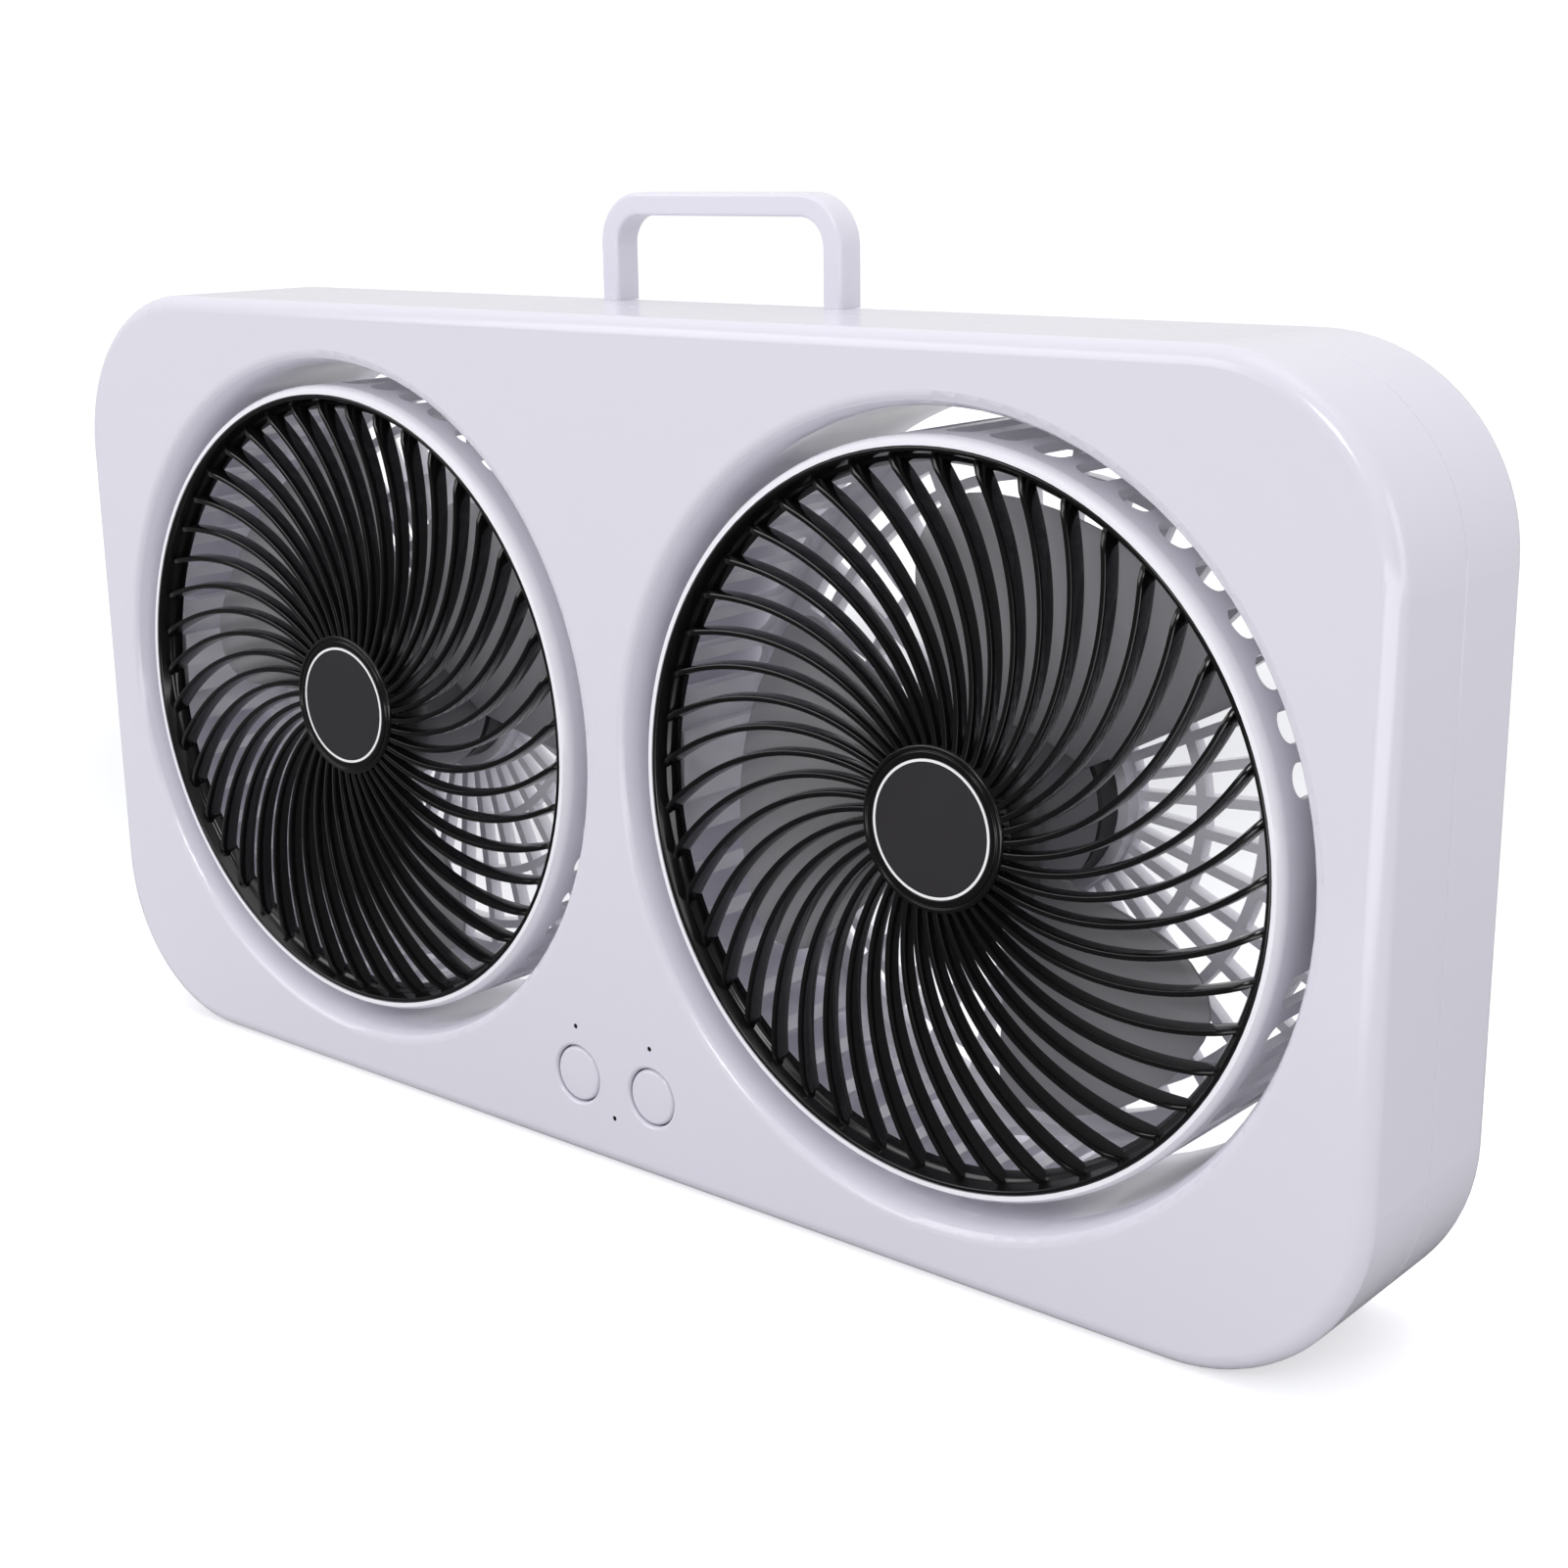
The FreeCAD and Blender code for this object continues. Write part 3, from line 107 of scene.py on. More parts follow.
def moulded_plastic(name, colour, drift=0.03, grain=1200.0, gloss=(0.3, 0.4), relief=0.03):
    """Material of a moulded piece: its colour and how far tone, gloss and grain vary."""
    material = bpy.data.materials.new(name)
    material.use_nodes = True
    tree = material.node_tree
    skin = tree.nodes.new("ShaderNodeGroup")
    skin.node_tree = moulded_skin
    feed(tree, skin, {"Colour": colour, "Drift": drift, "Grain": grain, "Smooth": gloss[0],
                      "Rough": gloss[1]})
    bump = add_node(tree, "ShaderNodeBump", {"Height": skin.outputs["Height"], "Strength": relief,
                                             "Distance": GRAIN_DEPTH})
    feed(tree, tree.nodes["Principled BSDF"], {
        "Base Color": skin.outputs["Colour"], "Roughness": skin.outputs["Roughness"],
        "Normal": bump.outputs["Normal"]})
    return material


def dress(material, *names):
    """Give CAD nodes their finish."""
    for name in names:
        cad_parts[name].material_slots[0].material = material


case_plastic = moulded_plastic("case_plastic", CASE_WHITE, drift=0.012, gloss=(0.14, 0.16), relief=0.006)
dress(case_plastic, "front_shell", "rear_shell")


# The carry handle: a square loop moulded in the same plastic, with a duller grip finish.
# Its two legs stand in slots of the rear half and are screwed from inside.
handle_plastic = moulded_plastic("handle_plastic", (0.700, 0.685, 0.765, 1.0), drift=0.015, grain=1800.0,
                                 gloss=(0.17, 0.21), relief=0.012)
dress(handle_plastic, "carry_handle")


# The drum of each head: a slotted cage in glossy white plastic with a ribbed back.
# It hangs on two trunnions between the case halves, so the head can tilt.
drum_plastic = moulded_plastic("drum_plastic", (0.81, 0.80, 0.86, 1.0), gloss=(0.12, 0.17), relief=0.01)
dress(drum_plastic, "left_rear_cage", "right_rear_cage")


# The front grille: one black moulding of rim, hub and swirl ribs, pressed into the drum.
# Each rib is a thin tapered blade with soft edges that leaves the hub along the swirl and
# sweeps back towards the rim, where its front dips behind the rim's bevel.
RIM_RADIUS, RIM_FRONT, RIM_INNER, RIM_DEPTH = 0.06205, 0.06135, 0.05905, 0.0044
BEVEL_RADIUS, BEVEL_DEPTH, STEP_RADIUS, STEP_DEPTH = 0.06060, 0.0022, 0.05990, 0.0026
HUB_RADIUS, HUB_DEPTH, HUB_BORE, HUB_EDGE = 0.0142, 0.0026, 0.0004, 0.0004
SHOULDER_RADIUS, SHOULDER_DROP, SEAT_RADIUS, SEAT_DEPTH = 0.0140, 0.00005, 0.01185, 0.0009
GROOVE_INNER, GROOVE_OUTER, GROOVE_SLOPE, GROOVE_DEPTH = 0.0130, 0.0134, 0.0001, 0.00025
RIBS, FIRST_RIB = 45, {"left": math.radians(-2.9), "right": math.radians(-0.5)}
SHARP_ANGLE = math.radians(40)


def middle_of(node):
    """Middle of a CAD node's box."""
    low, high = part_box(node)
    return (low + high) / 2


HEADS = {side: middle_of(f"{side}_hub_badge").x for side in ("left", "right")}
HEAD_HEIGHT = middle_of("left_hub_badge").z
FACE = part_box("left_front_grille")[0].y


def new_object(name, data):
    """Object in the scene for a mesh, a lamp or a camera."""
    thing = bpy.data.objects.new(name, data)
    bpy.context.scene.collection.objects.link(thing)
    return thing


def mesh_of(bm, name):
    """Finish a mesh under construction with its faces turned outwards."""
    bmesh.ops.recalc_face_normals(bm, faces=bm.faces)
    mesh = bpy.data.meshes.new(name)
    bm.to_mesh(mesh)
    bm.free()
    return mesh


def lathed(name, profile, steps=192):
    """Turn a closed (radius, depth) profile round the fan axis. A stretch on the axis makes no face."""
    bm = bmesh.new()
    rings = []
    for k in range(steps):
        angle = 2 * math.pi * k / steps
        rings.append([bm.verts.new((radius * math.sin(angle), depth, radius * math.cos(angle)))
                      for radius, depth in profile])
    count = len(profile)
    for here, there in zip(rings, rings[1:] + rings[:1]):
        for j in range(count):
            after = (j + 1) % count
            if profile[j][0] or profile[after][0]:
                bm.faces.new((here[j], here[after], there[after], there[j]))
    bmesh.ops.remove_doubles(bm, verts=bm.verts, dist=1e-7)
    return mesh_of(bm, name)


def softened(profile, radius, steps=3):
    """Round every corner of a closed profile by a small radius."""
    soft = []
    for k, corner in enumerate(profile):
        point = Vector(corner)
        before = Vector(profile[k - 1]) - point
        after = Vector(profile[(k + 1) % len(profile)]) - point
        reach = min(radius, before.length * 0.45, after.length * 0.45)
        start, end = point + before.normalized() * reach, point + after.normalized() * reach
        for j in range(steps + 1):
            t = j / steps
            soft.append(tuple((1 - t) ** 2 * start + 2 * t * (1 - t) * point + t ** 2 * end))
    return soft


def swirl_rib():
    """One rib at twelve o'clock: a soft-edged strip along the swirl."""
    front_width, rear_width, edge = 0.00100, 0.00140, 0.00030
    outer, inner, stations = 0.0617, 0.0136, 34
    tip_round, steepest = 0.0030, 0.98
    tip_start = RIM_FRONT - tip_round
    front, outer_depth, inner_depth = FACE + 0.0004, 0.0036, 0.0022
    swirl, swirl_start = math.radians(0.75) / 0.001, 0.060
    bm = bmesh.new()
    sections = []
    for k in range(stations + 1):
        radius = outer + (inner - outer) * k / stations
        turn = swirl * (swirl_start - radius)
        heading = turn - math.atan(radius * swirl)
        dip = max(0.0, min(radius - tip_start, tip_round * steepest))
        near = front + tip_round - math.sqrt(tip_round ** 2 - dip ** 2)
        far = front + inner_depth + (outer_depth - inner_depth) * (radius - inner) / (tip_start - inner)
        outline = softened([(-front_width / 2, near), (front_width / 2, near), (rear_width / 2, far),
                            (-rear_width / 2, far)], edge, steps=2)
        centre = Vector((radius * math.sin(turn), 0, radius * math.cos(turn)))
        side = Vector((math.cos(heading), 0, -math.sin(heading)))
        sections.append([bm.verts.new(centre + side * across + Vector((0, depth, 0)))
                         for across, depth in outline])
    count = len(sections[0])
    for here, there in zip(sections, sections[1:]):
        for j in range(count):
            after = (j + 1) % count
            bm.faces.new((here[j], there[j], there[after], here[after]))
    bm.faces.new(sections[0])
    bm.faces.new(reversed(sections[-1]))
    return mesh_of(bm, "swirl_rib")


def copying_tree(name, inputs):
    """Geometry tree with named inputs and the copies as its output, and its input sockets."""
    tree = bpy.data.node_groups.new(name, "GeometryNodeTree")
    for label, kind in inputs.items():
        tree.interface.new_socket(name=label, in_out="INPUT", socket_type=kind)
    tree.interface.new_socket(name="Copies", in_out="OUTPUT", socket_type="NodeSocketGeometry")
    return tree, tree.nodes.new("NodeGroupInput").outputs


def put_out(tree, copies, finish):
    """End a geometry tree: its copies made real and painted."""
    real = add_node(tree, "GeometryNodeRealizeInstances", {0: copies.outputs[0]})
    paint = add_node(tree, "GeometryNodeSetMaterial", {"Geometry": real.outputs[0], "Material": finish})
    add_node(tree, "NodeGroupOutput", {"Copies": paint.outputs[0]})


def ring_of_copies_tree():
    """Geometry tree that repeats its piece round the fan axis."""
    tree, given = copying_tree("ring_of_copies", {
        "Piece": "NodeSocketGeometry", "Count": "NodeSocketInt", "Start Angle": "NodeSocketFloat",
        "Finish": "NodeSocketMaterial"})
    points = add_node(tree, "GeometryNodePoints", {"Count": given["Count"]})
    index = add_node(tree, "GeometryNodeInputIndex", {})
    step = add_node(tree, "ShaderNodeMath", {0: 2 * math.pi, 1: given["Count"]}, "DIVIDE")
    angle = add_node(tree, "ShaderNodeMath", {0: index.outputs[0], 1: step.outputs[0],
                                              2: given["Start Angle"]}, "MULTIPLY_ADD")
    turn = add_node(tree, "ShaderNodeCombineXYZ", {"Y": angle.outputs[0]})
    copies = add_node(tree, "GeometryNodeInstanceOnPoints", {
        "Points": points.outputs[0], "Instance": given["Piece"], "Rotation": turn.outputs[0]})
    put_out(tree, copies, given["Finish"])
    return tree


def grown(mesh, tree, **inputs):
    """Plain mesh that a geometry tree makes from a mesh."""
    maker = new_object("maker", mesh)
    modifier = maker.modifiers.new("grow", "NODES")
    modifier.node_group = tree
    for item in tree.interface.items_tree:
        label = item.name.lower().replace(" ", "_")
        if item.in_out == "INPUT" and label in inputs:
            modifier[item.identifier] = inputs[label]
    graph = bpy.context.evaluated_depsgraph_get()
    result = bpy.data.meshes.new_from_object(maker.evaluated_get(graph))
    bpy.data.objects.remove(maker)
    return result


def joined(name, meshes, material, place=(0, 0, 0)):
    """One piece from several meshes, shaded smooth between its edges."""
    bm = bmesh.new()
    for mesh in meshes:
        bm.from_mesh(mesh)
    bmesh.ops.translate(bm, verts=bm.verts, vec=place)
    for face in bm.faces:
        face.material_index = 0
        face.smooth = True
    mesh = bpy.data.meshes.new(name)
    bm.to_mesh(mesh)
    bm.free()
    mesh.materials.append(material)
    mesh.set_sharp_from_angle(angle=SHARP_ANGLE)
    return new_object(name, mesh)


ring_of_copies = ring_of_copies_tree()
grille_plastic = moulded_plastic("grille_plastic", (0.0045, 0.0045, 0.0050, 1.0), drift=0.2, grain=1500.0,
                                 gloss=(0.12, 0.16), relief=0.01)
grille_rim = lathed("grille_rim", softened(
    [(RIM_FRONT, FACE), (RIM_RADIUS, FACE), (RIM_RADIUS, FACE + RIM_DEPTH), (RIM_INNER, FACE + RIM_DEPTH),
     (STEP_RADIUS, FACE + STEP_DEPTH), (BEVEL_RADIUS, FACE + BEVEL_DEPTH)], radius=0.00022))
hub_disc = lathed("hub_disc", softened(
    [(HUB_BORE, FACE + SEAT_DEPTH), (SEAT_RADIUS, FACE + SEAT_DEPTH), (SEAT_RADIUS, FACE),
     (GROOVE_INNER, FACE), (GROOVE_INNER + GROOVE_SLOPE, FACE + GROOVE_DEPTH),
     (GROOVE_OUTER - GROOVE_SLOPE, FACE + GROOVE_DEPTH), (GROOVE_OUTER, FACE),
     (SHOULDER_RADIUS, FACE + SHOULDER_DROP), (HUB_RADIUS, FACE + HUB_EDGE), (HUB_RADIUS, FACE + HUB_DEPTH),
     (HUB_BORE, FACE + HUB_DEPTH)], radius=0.0002))
rib = swirl_rib()
for side, x in HEADS.items():
    ribs = grown(rib, ring_of_copies, count=RIBS, start_angle=FIRST_RIB[side], finish=grille_plastic)
    grille = joined(f"{side}_swirl_grille", [ribs, grille_rim, hub_disc], grille_plastic,
                    (x, 0, HEAD_HEIGHT))
    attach(grille, f"{side}_head")
    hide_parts(f"{side}_front_grille")


# The two buttons: caps in the case plastic, a little smoother than the case, with a soft edge.
# Each cap lies just below the face, and its flange holds it behind the front wall.
BUTTONS = {"left": -0.00965, "right": 0.00965}
BUTTON_HEIGHT = 0.0165
CAP_FACE, CAP_RADIUS, CAP_EDGE, EDGE_STEPS = -0.02015, 0.0054, 0.0008, 6
FLANGE_RADIUS, FLANGE_FRONT, FLANGE_BACK = 0.0066, -0.0181, -0.0171
STEM_RADIUS, STEM_END = 0.0015, -0.0167
button_plastic = moulded_plastic("button_plastic", CASE_WHITE, drift=0.012, gloss=(0.12, 0.14),
                                 relief=0.006)
cap_profile = [(0, CAP_FACE)]
for k in range(EDGE_STEPS + 1):
    bend = math.pi / 2 * k / EDGE_STEPS
    cap_profile.append((CAP_RADIUS - CAP_EDGE * (1 - math.sin(bend)),
                        CAP_FACE + CAP_EDGE * (1 - math.cos(bend))))
cap_profile += [(CAP_RADIUS, FLANGE_FRONT), (FLANGE_RADIUS, FLANGE_FRONT), (FLANGE_RADIUS, FLANGE_BACK),
                (STEM_RADIUS, FLANGE_BACK), (STEM_RADIUS, STEM_END), (0, STEM_END)]
button_cap = lathed("button_cap", cap_profile, steps=96)
for side, x in BUTTONS.items():
    cap = joined(f"{side}_push_cap", [button_cap], button_plastic, (x, 0, BUTTON_HEIGHT))
    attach(cap, f"{side}_button_cap")
    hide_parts(f"{side}_button")


# Indicator dots: three smoked light pipes whose tips fill pin-holes over and under the buttons.
# Each is a stepped rod: its collar rests behind the front wall and its foot ends over a lamp.
DOT_RISE, DOT_DROP = 0.00975, 0.0066
TIP_FRONT, TIP_RADIUS, TIP_BEVEL = -0.02028, 0.00047, 0.00004
COLLAR_RADIUS, COLLAR_FRONT, COLLAR_BACK = 0.0016, -0.0184, -0.0176
FOOT_RADIUS, FOOT_END = 0.0009, -0.0135


def copies_at_points_tree():
    """Geometry tree that sets one piece at every point of its mesh."""
    tree, given = copying_tree("copies_at_points", {
        "Spots": "NodeSocketGeometry", "Piece": "NodeSocketObject", "Finish": "NodeSocketMaterial"})
    piece = add_node(tree, "GeometryNodeObjectInfo", {"Object": given["Piece"]})
    points = add_node(tree, "GeometryNodeMeshToPoints", {"Mesh": given["Spots"]})
    copies = add_node(tree, "GeometryNodeInstanceOnPoints", {
        "Points": points.outputs[0], "Instance": piece.outputs["Geometry"]})
    put_out(tree, copies, given["Finish"])
    return tree


copies_at_points = copies_at_points_tree()


def row_of(name, mesh, spots, material):
    """One piece from copies of a mesh at their places."""
    spot_mesh = bpy.data.meshes.new("spots")
    spot_mesh.from_pydata(spots, [], [])
    pattern = new_object("pattern", mesh)
    copies = grown(spot_mesh, copies_at_points, piece=pattern, finish=material)
    bpy.data.objects.remove(pattern)
    return joined(name, [copies], material)


smoked_plastic = moulded_plastic("smoked_plastic", (0.004, 0.004, 0.005, 1.0), drift=0.1, gloss=(0.3, 0.4))
light_pipe = lathed("light_pipe", [
    (0, TIP_FRONT), (TIP_RADIUS - TIP_BEVEL, TIP_FRONT), (TIP_RADIUS, TIP_FRONT + TIP_BEVEL),
    (TIP_RADIUS, COLLAR_FRONT), (COLLAR_RADIUS, COLLAR_FRONT), (COLLAR_RADIUS, COLLAR_BACK),
    (FOOT_RADIUS, COLLAR_BACK), (FOOT_RADIUS, FOOT_END), (0, FOOT_END)], steps=32)
dot_spots = [(x, 0, BUTTON_HEIGHT + DOT_RISE) for x in BUTTONS.values()]
dot_spots.append((0, 0, BUTTON_HEIGHT - DOT_DROP))
dots = row_of("smoked_pipes", light_pipe, dot_spots, smoked_plastic)
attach(dots, "housing")
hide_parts("light_pipes")


# The hub badge: a satin charcoal disc set into the hub, left bare.
# A thin white ring lies in the groove round it.
badge_plastic = moulded_plastic("badge_plastic", (0.020, 0.018, 0.022, 1.0), drift=0.2, grain=2500.0,
                                gloss=(0.40, 0.50), relief=0.05)
dress(badge_plastic, "left_hub_badge", "right_hub_badge")
ring_plastic = moulded_plastic("ring_plastic", (0.80, 0.80, 0.82, 1.0), gloss=(0.2, 0.3))
dress(ring_plastic, "left_badge_ring", "right_badge_ring")


# The impeller: three broad grey blades on a hub cup, moulded in one; the cup is painted darker than the
# blades as painted shade.
# Each blade is a thin cambered sheet that leans back clockwise, with a wide round corner in front.
CUP_RADIUS, CUP_BORE, CUP_FRONT, CUP_FLOOR, CUP_BACK = 0.0170, 0.0154, -0.0128, -0.0112, 0.0042
BOSS_RADIUS, BOSS_BORE, BOSS_END = 0.0040, 0.0012, -0.0022
BLADES, FIRST_BLADE = 3, {"left": math.radians(64.5), "right": math.radians(24.5)}
BLADE_MIDDLE = -0.0043
impeller_plastic = moulded_plastic("impeller_plastic", (0.31, 0.302, 0.325, 1.0), drift=0.06,
                                   gloss=(0.32, 0.42), relief=0.04)


def ramp(tree, value, start, end, near, far):
    """Level that runs from near to far while a value runs from start to end."""
    level = add_node(tree, "ShaderNodeMapRange", {"Value": value, "From Min": start, "From Max": end,
                                                  "To Min": near, "To Max": far})
    return level.outputs["Result"]


def paint_cup_shade(material, share, margin=0.0001, fade=0.0004):
    """Paint shade on the hub cup of both wheels, so that it shows darker than their blades."""
    start = CUP_RADIUS + margin
    tree = material.node_tree
    paint = tree.nodes["Principled BSDF"].inputs["Base Color"]
    place = add_node(tree, "ShaderNodeTexCoord", {}).outputs["Object"]
    parts = add_node(tree, "ShaderNodeSeparateXYZ", {0: place}).outputs
    outward = add_node(tree, "ShaderNodeMath", {0: parts["X"]}, "ABSOLUTE")
    across = add_node(tree, "ShaderNodeCombineXYZ", {"X": outward.outputs[0], "Z": parts["Z"]})
    reach = add_node(tree, "ShaderNodeVectorMath", {0: across.outputs[0],
                                                    1: (HEADS["right"], 0, HEAD_HEIGHT)}, "DISTANCE")
    level = ramp(tree, reach.outputs["Value"], start, start + fade, share, 1.0)
    tone = add_node(tree, "ShaderNodeVectorMath", {0: paint.links[0].from_socket, "Scale": level}, "SCALE")
    tree.links.new(tone.outputs[0], paint)


# Painted shade: the hub cup at half the tone of the blades.
paint_cup_shade(impeller_plastic, share=0.5)


def fan_blade():
    """One blade about twelve o'clock, from inside the hub cup to its round tip."""
    half_angle, root, tip = math.radians(37.5), 0.0158, 0.0540
    front_corner, rear_corner = (0.58, 0.016), (0.86, 0.005)
    rise, camber, thickness, edge_thickness, edge_width = 0.0075, 0.0010, 0.0015, 0.0005, 0.0009
    along, turns = 20, 8

    def spread(flat):
        """Shares of the half width, closer together round the corner."""
        bend = [flat + (1 - flat) * math.sin(math.pi / 2 * k / turns) for k in range(turns + 1)]
        return [flat * k / turns for k in range(turns)] + bend

    bm = bmesh.new()
    skins = {1: [], -1: []}
    for s in [-s for s in reversed(spread(front_corner[0])[1:])] + spread(rear_corner[0]):
        angle = s * half_angle
        flat, corner = front_corner if s < 0 else rear_corner
        past = max(0.0, (abs(s) - flat) / (1 - flat))
        reach = tip - corner * (1 - math.sqrt(max(0.0, 1 - past ** 2)))
        middle = BLADE_MIDDLE + rise * math.tan(angle) / math.tan(half_angle) - camber * (1 - s * s)
        for face, rows in skins.items():
            row = []
            for j in range(along + 1):
                radius = root + (reach - root) * j / along
                inset = min((1 - abs(s)) * half_angle * radius, reach - radius)
                full = min(1.0, inset / edge_width)
                thick = edge_thickness + (thickness - edge_thickness) * math.sqrt(full * (2 - full))
                row.append(bm.verts.new((radius * math.sin(angle), middle + face * thick / 2,
                                         radius * math.cos(angle))))
            rows.append(row)
    rims = []
    for grid in skins.values():
        for here, there in zip(grid, grid[1:]):
            for j in range(along):
                bm.faces.new((here[j], here[j + 1], there[j + 1], there[j]))
        rims.append(grid[0] + [row[-1] for row in grid[1:]] + grid[-1][-2::-1]
                    + [row[0] for row in grid[-2:0:-1]])
    for k, vertex in enumerate(rims[0]):
        after = (k + 1) % len(rims[0])
        bm.faces.new((vertex, rims[0][after], rims[1][after], rims[1][k]))
    return mesh_of(bm, "fan_blade")


hub_cup = lathed("hub_cup", softened(
    [(BOSS_BORE, CUP_FRONT), (CUP_RADIUS, CUP_FRONT), (CUP_RADIUS, CUP_BACK), (CUP_BORE, CUP_BACK),
     (CUP_BORE, CUP_FLOOR), (BOSS_RADIUS, CUP_FLOOR), (BOSS_RADIUS, BOSS_END), (BOSS_BORE, BOSS_END)],
    radius=0.0030, steps=5), steps=96)
blade = fan_blade()
for side, x in HEADS.items():
    blades = grown(blade, ring_of_copies, count=BLADES, start_angle=FIRST_BLADE[side],
                   finish=impeller_plastic)
    wheel = joined(f"{side}_fan_wheel", [blades, hub_cup], impeller_plastic, (x, 0, HEAD_HEIGHT))
    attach(wheel, f"{side}_fan")
    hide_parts(f"{side}_impeller")


# The motor: a flat black-coated can screwed to the back of the drum, with a ground steel shaft.
# The coat is slightly orange-peeled, and the shaft has fine grinding marks.
MARK_TONE, MARK_RELIEF, MARK_DEPTH = 0.8, 0.04, 0.0001
motor_coat = moulded_plastic("motor_coat", (0.012, 0.012, 0.013, 1.0), drift=0.2, grain=700.0,
                             gloss=(0.3, 0.42), relief=0.12)
dress(motor_coat, "left_motor", "right_motor")


def metal(name, colour, gloss, mark_scale):
    """Bare metal whose tone and gloss vary with its working marks."""
    material = bpy.data.materials.new(name)
    material.use_nodes = True
    tree = material.node_tree
    marks = noise_in(tree, scale=mark_scale, detail=5.0)
    marked = tuple(channel * MARK_TONE for channel in colour[:3]) + (1.0,)
    tone = add_node(tree, "ShaderNodeMixRGB", {"Fac": marks, "Color1": colour, "Color2": marked})
    bump = add_node(tree, "ShaderNodeBump", {"Height": marks, "Strength": MARK_RELIEF,
                                             "Distance": MARK_DEPTH})
    feed(tree, tree.nodes["Principled BSDF"], {
        "Metallic": 1.0, "Base Color": tone.outputs["Color"], "Normal": bump.outputs["Normal"],
        "Roughness": ramp(tree, marks, 0.0, 1.0, *gloss)})
    return material


ground_steel = metal("ground_steel", (0.60, 0.60, 0.61, 1.0), gloss=(0.18, 0.3), mark_scale=900.0)
dress(ground_steel, "left_motor_shaft", "right_motor_shaft")


# The pivots: acetal bushes clamped between the case halves, and rubber rings on the trunnions
# that rub on the bushes and hold the head where it is put.
acetal = moulded_plastic("acetal", (0.74, 0.72, 0.68, 1.0), drift=0.02, gloss=(0.3, 0.4))
dress(acetal, "left_pivot_bushes", "right_pivot_bushes")
rubber = moulded_plastic("rubber", (0.02, 0.02, 0.02, 1.0), drift=0.2, gloss=(0.6, 0.75), relief=0.1)
dress(rubber, "left_friction_rings", "right_friction_rings")


# Screws: zinc plated pan heads with a cross recess, six in the back of the case and two on
# each motor. The ones inside the case keep their plain form and only take the plating.
CASE_SEAT, MOTOR_SEAT = 0.0124, 0.0164
CORNER_REACH, CORNER_RISE, MIDDLE_RISE = 0.136, 0.0618, 0.0322
MOTOR_SCREW_REACH = 0.011
zinc = metal("zinc", (0.55, 0.55, 0.57, 1.0), gloss=(0.25, 0.42), mark_scale=700.0)
dress(zinc, "handle_screws", "board_screws", "charge_board_screws")


def pan_screw(head_radius, head_height, shank_radius, length):
    """Screw along the depth axis, seated at zero, with a tapered cross recess."""
    steps, recess_taper, recess_floor = 28, 0.7, head_height * 0.35
    arm, slot = head_radius * 0.52, head_radius * 0.13
    levels = [(shank_radius * 0.4, -length), (shank_radius, shank_radius - length), (shank_radius, 0.0),
              (head_radius * 0.97, 0.0), (head_radius, head_height * 0.15),
              (head_radius * 0.97, head_height * 0.55), (head_radius * 0.86, head_height * 0.82),
              (head_radius * 0.66, head_height)]
    bm = bmesh.new()
    rings = []
    for radius, depth in levels:
        rings.append([bm.verts.new((radius * math.sin(2 * math.pi * k / steps), depth,
                                    radius * math.cos(2 * math.pi * k / steps))) for k in range(steps)])
    for here, there in zip(rings, rings[1:]):
        for k in range(steps):
            after = (k + 1) % steps
            bm.faces.new((here[k], here[after], there[after], there[k]))
    bm.faces.new(rings[0])
    corners = []
    for quarter in range(4):
        turn = Matrix.Rotation(quarter * math.pi / 2, 2)
        corners += [turn @ Vector(spot) for spot in ((slot, slot), (slot, arm), (-slot, arm))]
    mouth = [bm.verts.new((x, head_height, z)) for x, z in corners]
    bottom = [bm.verts.new((x * recess_taper, recess_floor, z * recess_taper)) for x, z in corners]
    edges = [bm.edges.new((mouth[k - 1], mouth[k])) for k in range(len(mouth))]
    edges += [bm.edges.get((rings[-1][k - 1], rings[-1][k])) for k in range(steps)]
    bmesh.ops.triangle_fill(bm, edges=edges, use_beauty=True)
    for k in range(len(mouth)):
        bm.faces.new((mouth[k - 1], mouth[k], bottom[k], bottom[k - 1]))
    bm.faces.new(bottom)
    return mesh_of(bm, "pan_screw")


def set_screws(name, screw, spots, body, node):
    """Screws of one kind at their places on one body."""
    row = row_of(name, screw, spots, zinc)
    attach(row, body)
    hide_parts(node)


case_screw = pan_screw(head_radius=0.0028, head_height=0.0022, shank_radius=0.00145, length=0.0224)
case_spots = [(x, CASE_SEAT, HEAD_HEIGHT + z)
              for x in (-CORNER_REACH, CORNER_REACH) for z in (-CORNER_RISE, CORNER_RISE)]
case_spots += [(0, CASE_SEAT, HEAD_HEIGHT + z) for z in (-MIDDLE_RISE, MIDDLE_RISE)]
set_screws("rear_case_screws", case_screw, case_spots, "housing", "case_screws")
motor_screw = pan_screw(head_radius=0.0018, head_height=0.0012, shank_radius=0.0009, length=0.0055)
for side, x in HEADS.items():
    motor_spots = [(x + reach, MOTOR_SEAT, HEAD_HEIGHT)
                   for reach in (-MOTOR_SCREW_REACH, MOTOR_SCREW_REACH)]
    set_screws(f"{side}_motor_fixings", motor_screw, motor_spots, f"{side}_head", f"{side}_motor_screws")


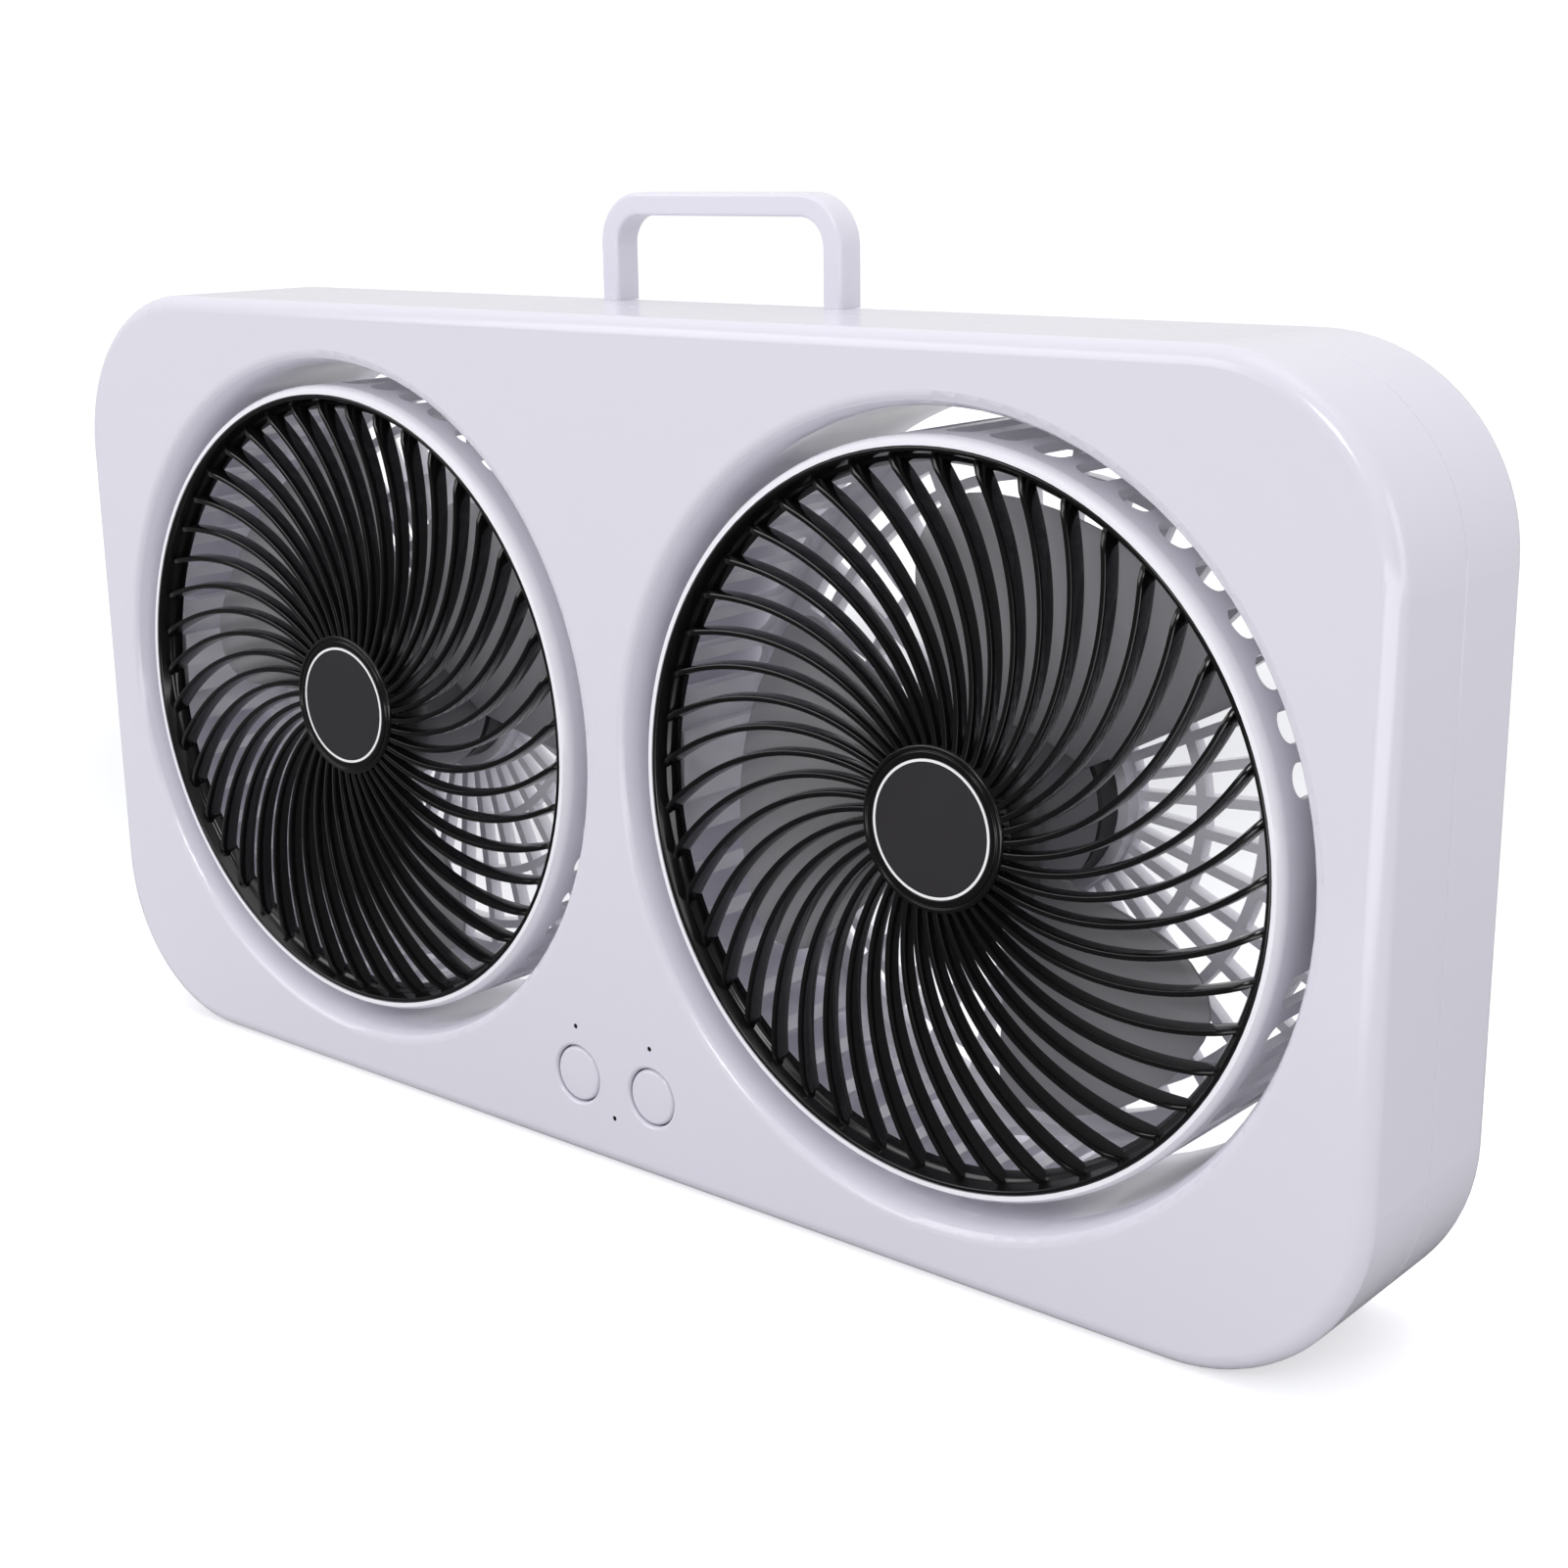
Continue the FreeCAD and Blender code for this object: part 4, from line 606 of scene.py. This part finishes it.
# Inside the case: control and charging boards, switches, lamps, a sleeved cell in its cradle,
# and the charging port that shows in the back.
solder_mask = moulded_plastic("solder_mask", (0.02, 0.12, 0.05, 1.0), drift=0.3, gloss=(0.25, 0.4))
dress(solder_mask, "control_board", "charge_board")
black_plastic = moulded_plastic("black_plastic", (0.02, 0.02, 0.02, 1.0), drift=0.2, gloss=(0.4, 0.5))
dress(black_plastic, "tact_switches", "battery_cradle")
lamp_plastic = moulded_plastic("lamp_plastic", (0.8, 0.78, 0.6, 1.0), gloss=(0.1, 0.2))
dress(lamp_plastic, "indicator_leds")
cell_sleeve = moulded_plastic("cell_sleeve", (0.03, 0.10, 0.32, 1.0), drift=0.1, gloss=(0.2, 0.3))
dress(cell_sleeve, "battery_cell")
port_plate = metal("port_plate", (0.62, 0.62, 0.64, 1.0), gloss=(0.15, 0.3), mark_scale=1200.0)
dress(port_plate, "usb_charge_port")


# The stage: a plain pale floor, with a round patch of painted shade behind the fan, under a white surround
# that is brighter overhead and behind.
# Reflections see a dark room in front, so black plastic stays black, and a white one behind,
# with one bright strip on the floor beside the camera that draws the upright edges.
BEHIND = (-0.6, 0.8, 0.0)
FLOOR_REACH, FLOOR_MATT, FLOOR_PALE = 4, (0.66, 0.66, 0.66, 1.0), (0.60, 0.605, 0.63, 1.0)
# The round patch of painted shade on the floor behind the fan, where the floor's glow drops.
PAINTED_SHADE_MIDDLE, PAINTED_SHADE_INNER, PAINTED_SHADE_OUTER = (-0.22, 0.27, 0.0), 0.15, 0.32
PAINTED_SHADE_GLOW, OPEN_GLOW = 0.06, 0.50
DARK_FRONT, PALE_BACK = 0.08, 0.75
STRIP_ACROSS, STRIP_AHEAD, STRIP_GLOW = (0.03, 0.12), (-0.15, -0.25), 3.0
WHITE = (1.0, 1.0, 1.0, 1.0)


def seen_as(tree, lit, mirrored, shown):
    """Shader that differs for light, for reflections and for what the camera sees."""
    path = add_node(tree, "ShaderNodeLightPath", {}).outputs
    direct = add_node(tree, "ShaderNodeMath", {0: path["Is Camera Ray"], 1: path["Is Transmission Ray"]},
                      "MAXIMUM")
    in_gloss = add_node(tree, "ShaderNodeMixShader", {"Fac": path["Is Glossy Ray"], 1: lit.outputs[0],
                                                      2: mirrored.outputs[0]})
    in_view = add_node(tree, "ShaderNodeMixShader", {"Fac": direct.outputs[0], 1: in_gloss.outputs[0],
                                                     2: shown.outputs[0]})
    return in_view.outputs[0]


def towards_back(tree, direction, front, back):
    """Level that rises from the front of the room to its back."""
    turned = add_node(tree, "ShaderNodeVectorMath", {0: direction, 1: BEHIND}, "DOT_PRODUCT")
    return ramp(tree, turned.outputs["Value"], 0.0, 1.0, front, back)


def floor_paint():
    """Material of the floor: it glows, but less in a round patch of painted shade behind the fan."""
    material = bpy.data.materials.new("floor_paint")
    material.use_nodes = True
    tree = material.node_tree
    tree.nodes.remove(tree.nodes["Principled BSDF"])
    place = add_node(tree, "ShaderNodeTexCoord", {}).outputs["Object"]
    parts = add_node(tree, "ShaderNodeSeparateXYZ", {0: place}).outputs
    matt = add_node(tree, "ShaderNodeBsdfDiffuse", {"Color": FLOOR_MATT})

    heading = add_node(tree, "ShaderNodeVectorMath", {0: place}, "NORMALIZE")
    strip = add_node(tree, "ShaderNodeMath", {
        0: ramp(tree, parts["X"], *STRIP_ACROSS, 0.0, STRIP_GLOW),
        1: ramp(tree, parts["Y"], *STRIP_AHEAD, 0.0, 1.0),
        2: towards_back(tree, heading.outputs[0], DARK_FRONT, PALE_BACK)}, "MULTIPLY_ADD")
    mirrored = add_node(tree, "ShaderNodeEmission", {"Strength": strip.outputs[0]})

    pale = add_node(tree, "ShaderNodeBsdfDiffuse", {"Color": FLOOR_PALE})
    # Painted shade: the glow drops in a round patch behind the fan, whatever the lamps do.
    from_painted_shade = add_node(tree, "ShaderNodeVectorMath", {0: place, 1: PAINTED_SHADE_MIDDLE}, "DISTANCE")
    lift = ramp(tree, from_painted_shade.outputs["Value"], PAINTED_SHADE_INNER, PAINTED_SHADE_OUTER, PAINTED_SHADE_GLOW, OPEN_GLOW)
    glow = add_node(tree, "ShaderNodeEmission", {"Strength": lift})
    shown = add_node(tree, "ShaderNodeAddShader", {0: pale.outputs[0], 1: glow.outputs[0]})
    feed(tree, tree.nodes["Material Output"], {"Surface": seen_as(tree, matt, mirrored, shown)})
    return material


floor_mesh = bpy.data.meshes.new("floor")
floor_corners = [(x * FLOOR_REACH, y * FLOOR_REACH, 0) for x, y in ((-1, -1), (1, -1), (1, 1), (-1, 1))]
floor_mesh.from_pydata(floor_corners, [], [(0, 1, 2, 3)])
floor_mesh.materials.append(floor_paint())
floor = new_object("floor", floor_mesh)


def sky(tree, low, high, back):
    """Surround whose strength rises from the horizon to overhead, and towards the back."""
    direction = add_node(tree, "ShaderNodeTexCoord", {}).outputs["Generated"]
    parts = add_node(tree, "ShaderNodeSeparateXYZ", {0: direction}).outputs
    both = add_node(tree, "ShaderNodeMath", {0: ramp(tree, parts["Z"], 0.0, 1.0, low, high),
                                             1: towards_back(tree, direction, 0.0, back)}, "ADD")
    return add_node(tree, "ShaderNodeBackground", {"Color": WHITE, "Strength": both.outputs[0]})


world = bpy.data.worlds.new("studio")
bpy.context.scene.world = world
world.use_nodes = True
sky_tree = world.node_tree
white_sky = sky_tree.nodes["Background"]
feed(sky_tree, white_sky, {"Color": WHITE})
lit_sky = sky(sky_tree, low=0.45, high=1.00, back=0.90)
mirrored_sky = sky(sky_tree, low=0.06, high=0.60, back=0.65)
surround = seen_as(sky_tree, lit_sky, mirrored_sky, white_sky)
feed(sky_tree, sky_tree.nodes["World Output"], {"Surface": surround})


def soft_lamp(name, place, size, power):
    """Square lamp turned towards the middle of the fan."""
    lamp = bpy.data.lights.new(name, "AREA")
    lamp.size = size
    lamp.energy = power
    holder = new_object(name, lamp)
    holder.location = place
    aim = Vector((0, 0, HEAD_HEIGHT)) - Vector(place)
    holder.rotation_euler = aim.to_track_quat("-Z", "Y").to_euler()


soft_lamp("key_lamp", (-0.9, -1.2, 0.7), size=0.9, power=6.4)
soft_lamp("front_lamp", (0.3, -1.3, 0.85), size=0.4, power=4.6)
soft_lamp("top_lamp", (0.2, -0.2, 1.6), size=1.0, power=2.5)
soft_lamp("side_lamp", (1.4, 0.1, 0.4), size=0.8, power=3.5)


# The camera: it stands a little above the fan and to its right, and looks slightly down.
# It is near, with a moderate lens, so the right head comes out larger than the left.
CAMERA_PLACE, LENS, SENSOR_WIDTH = (0.2956, -0.3153, 0.1866), 54.21, 36.0
RIGHT, UP = (0.76227, 0.64712, -0.01339), (-0.15762, 0.20565, 0.96585)
AHEAD = (-0.62777, 0.73413, -0.25876)
camera = bpy.data.cameras.new("camera")
camera.sensor_width = SENSOR_WIDTH
camera.lens = LENS
viewer = new_object("camera", camera)
turn = Matrix((RIGHT, UP, tuple(-part for part in AHEAD))).transposed().to_4x4()
viewer.matrix_world = Matrix.Translation(CAMERA_PLACE) @ turn
bpy.context.scene.camera = viewer
bpy.context.scene.view_settings.view_transform = "Standard"
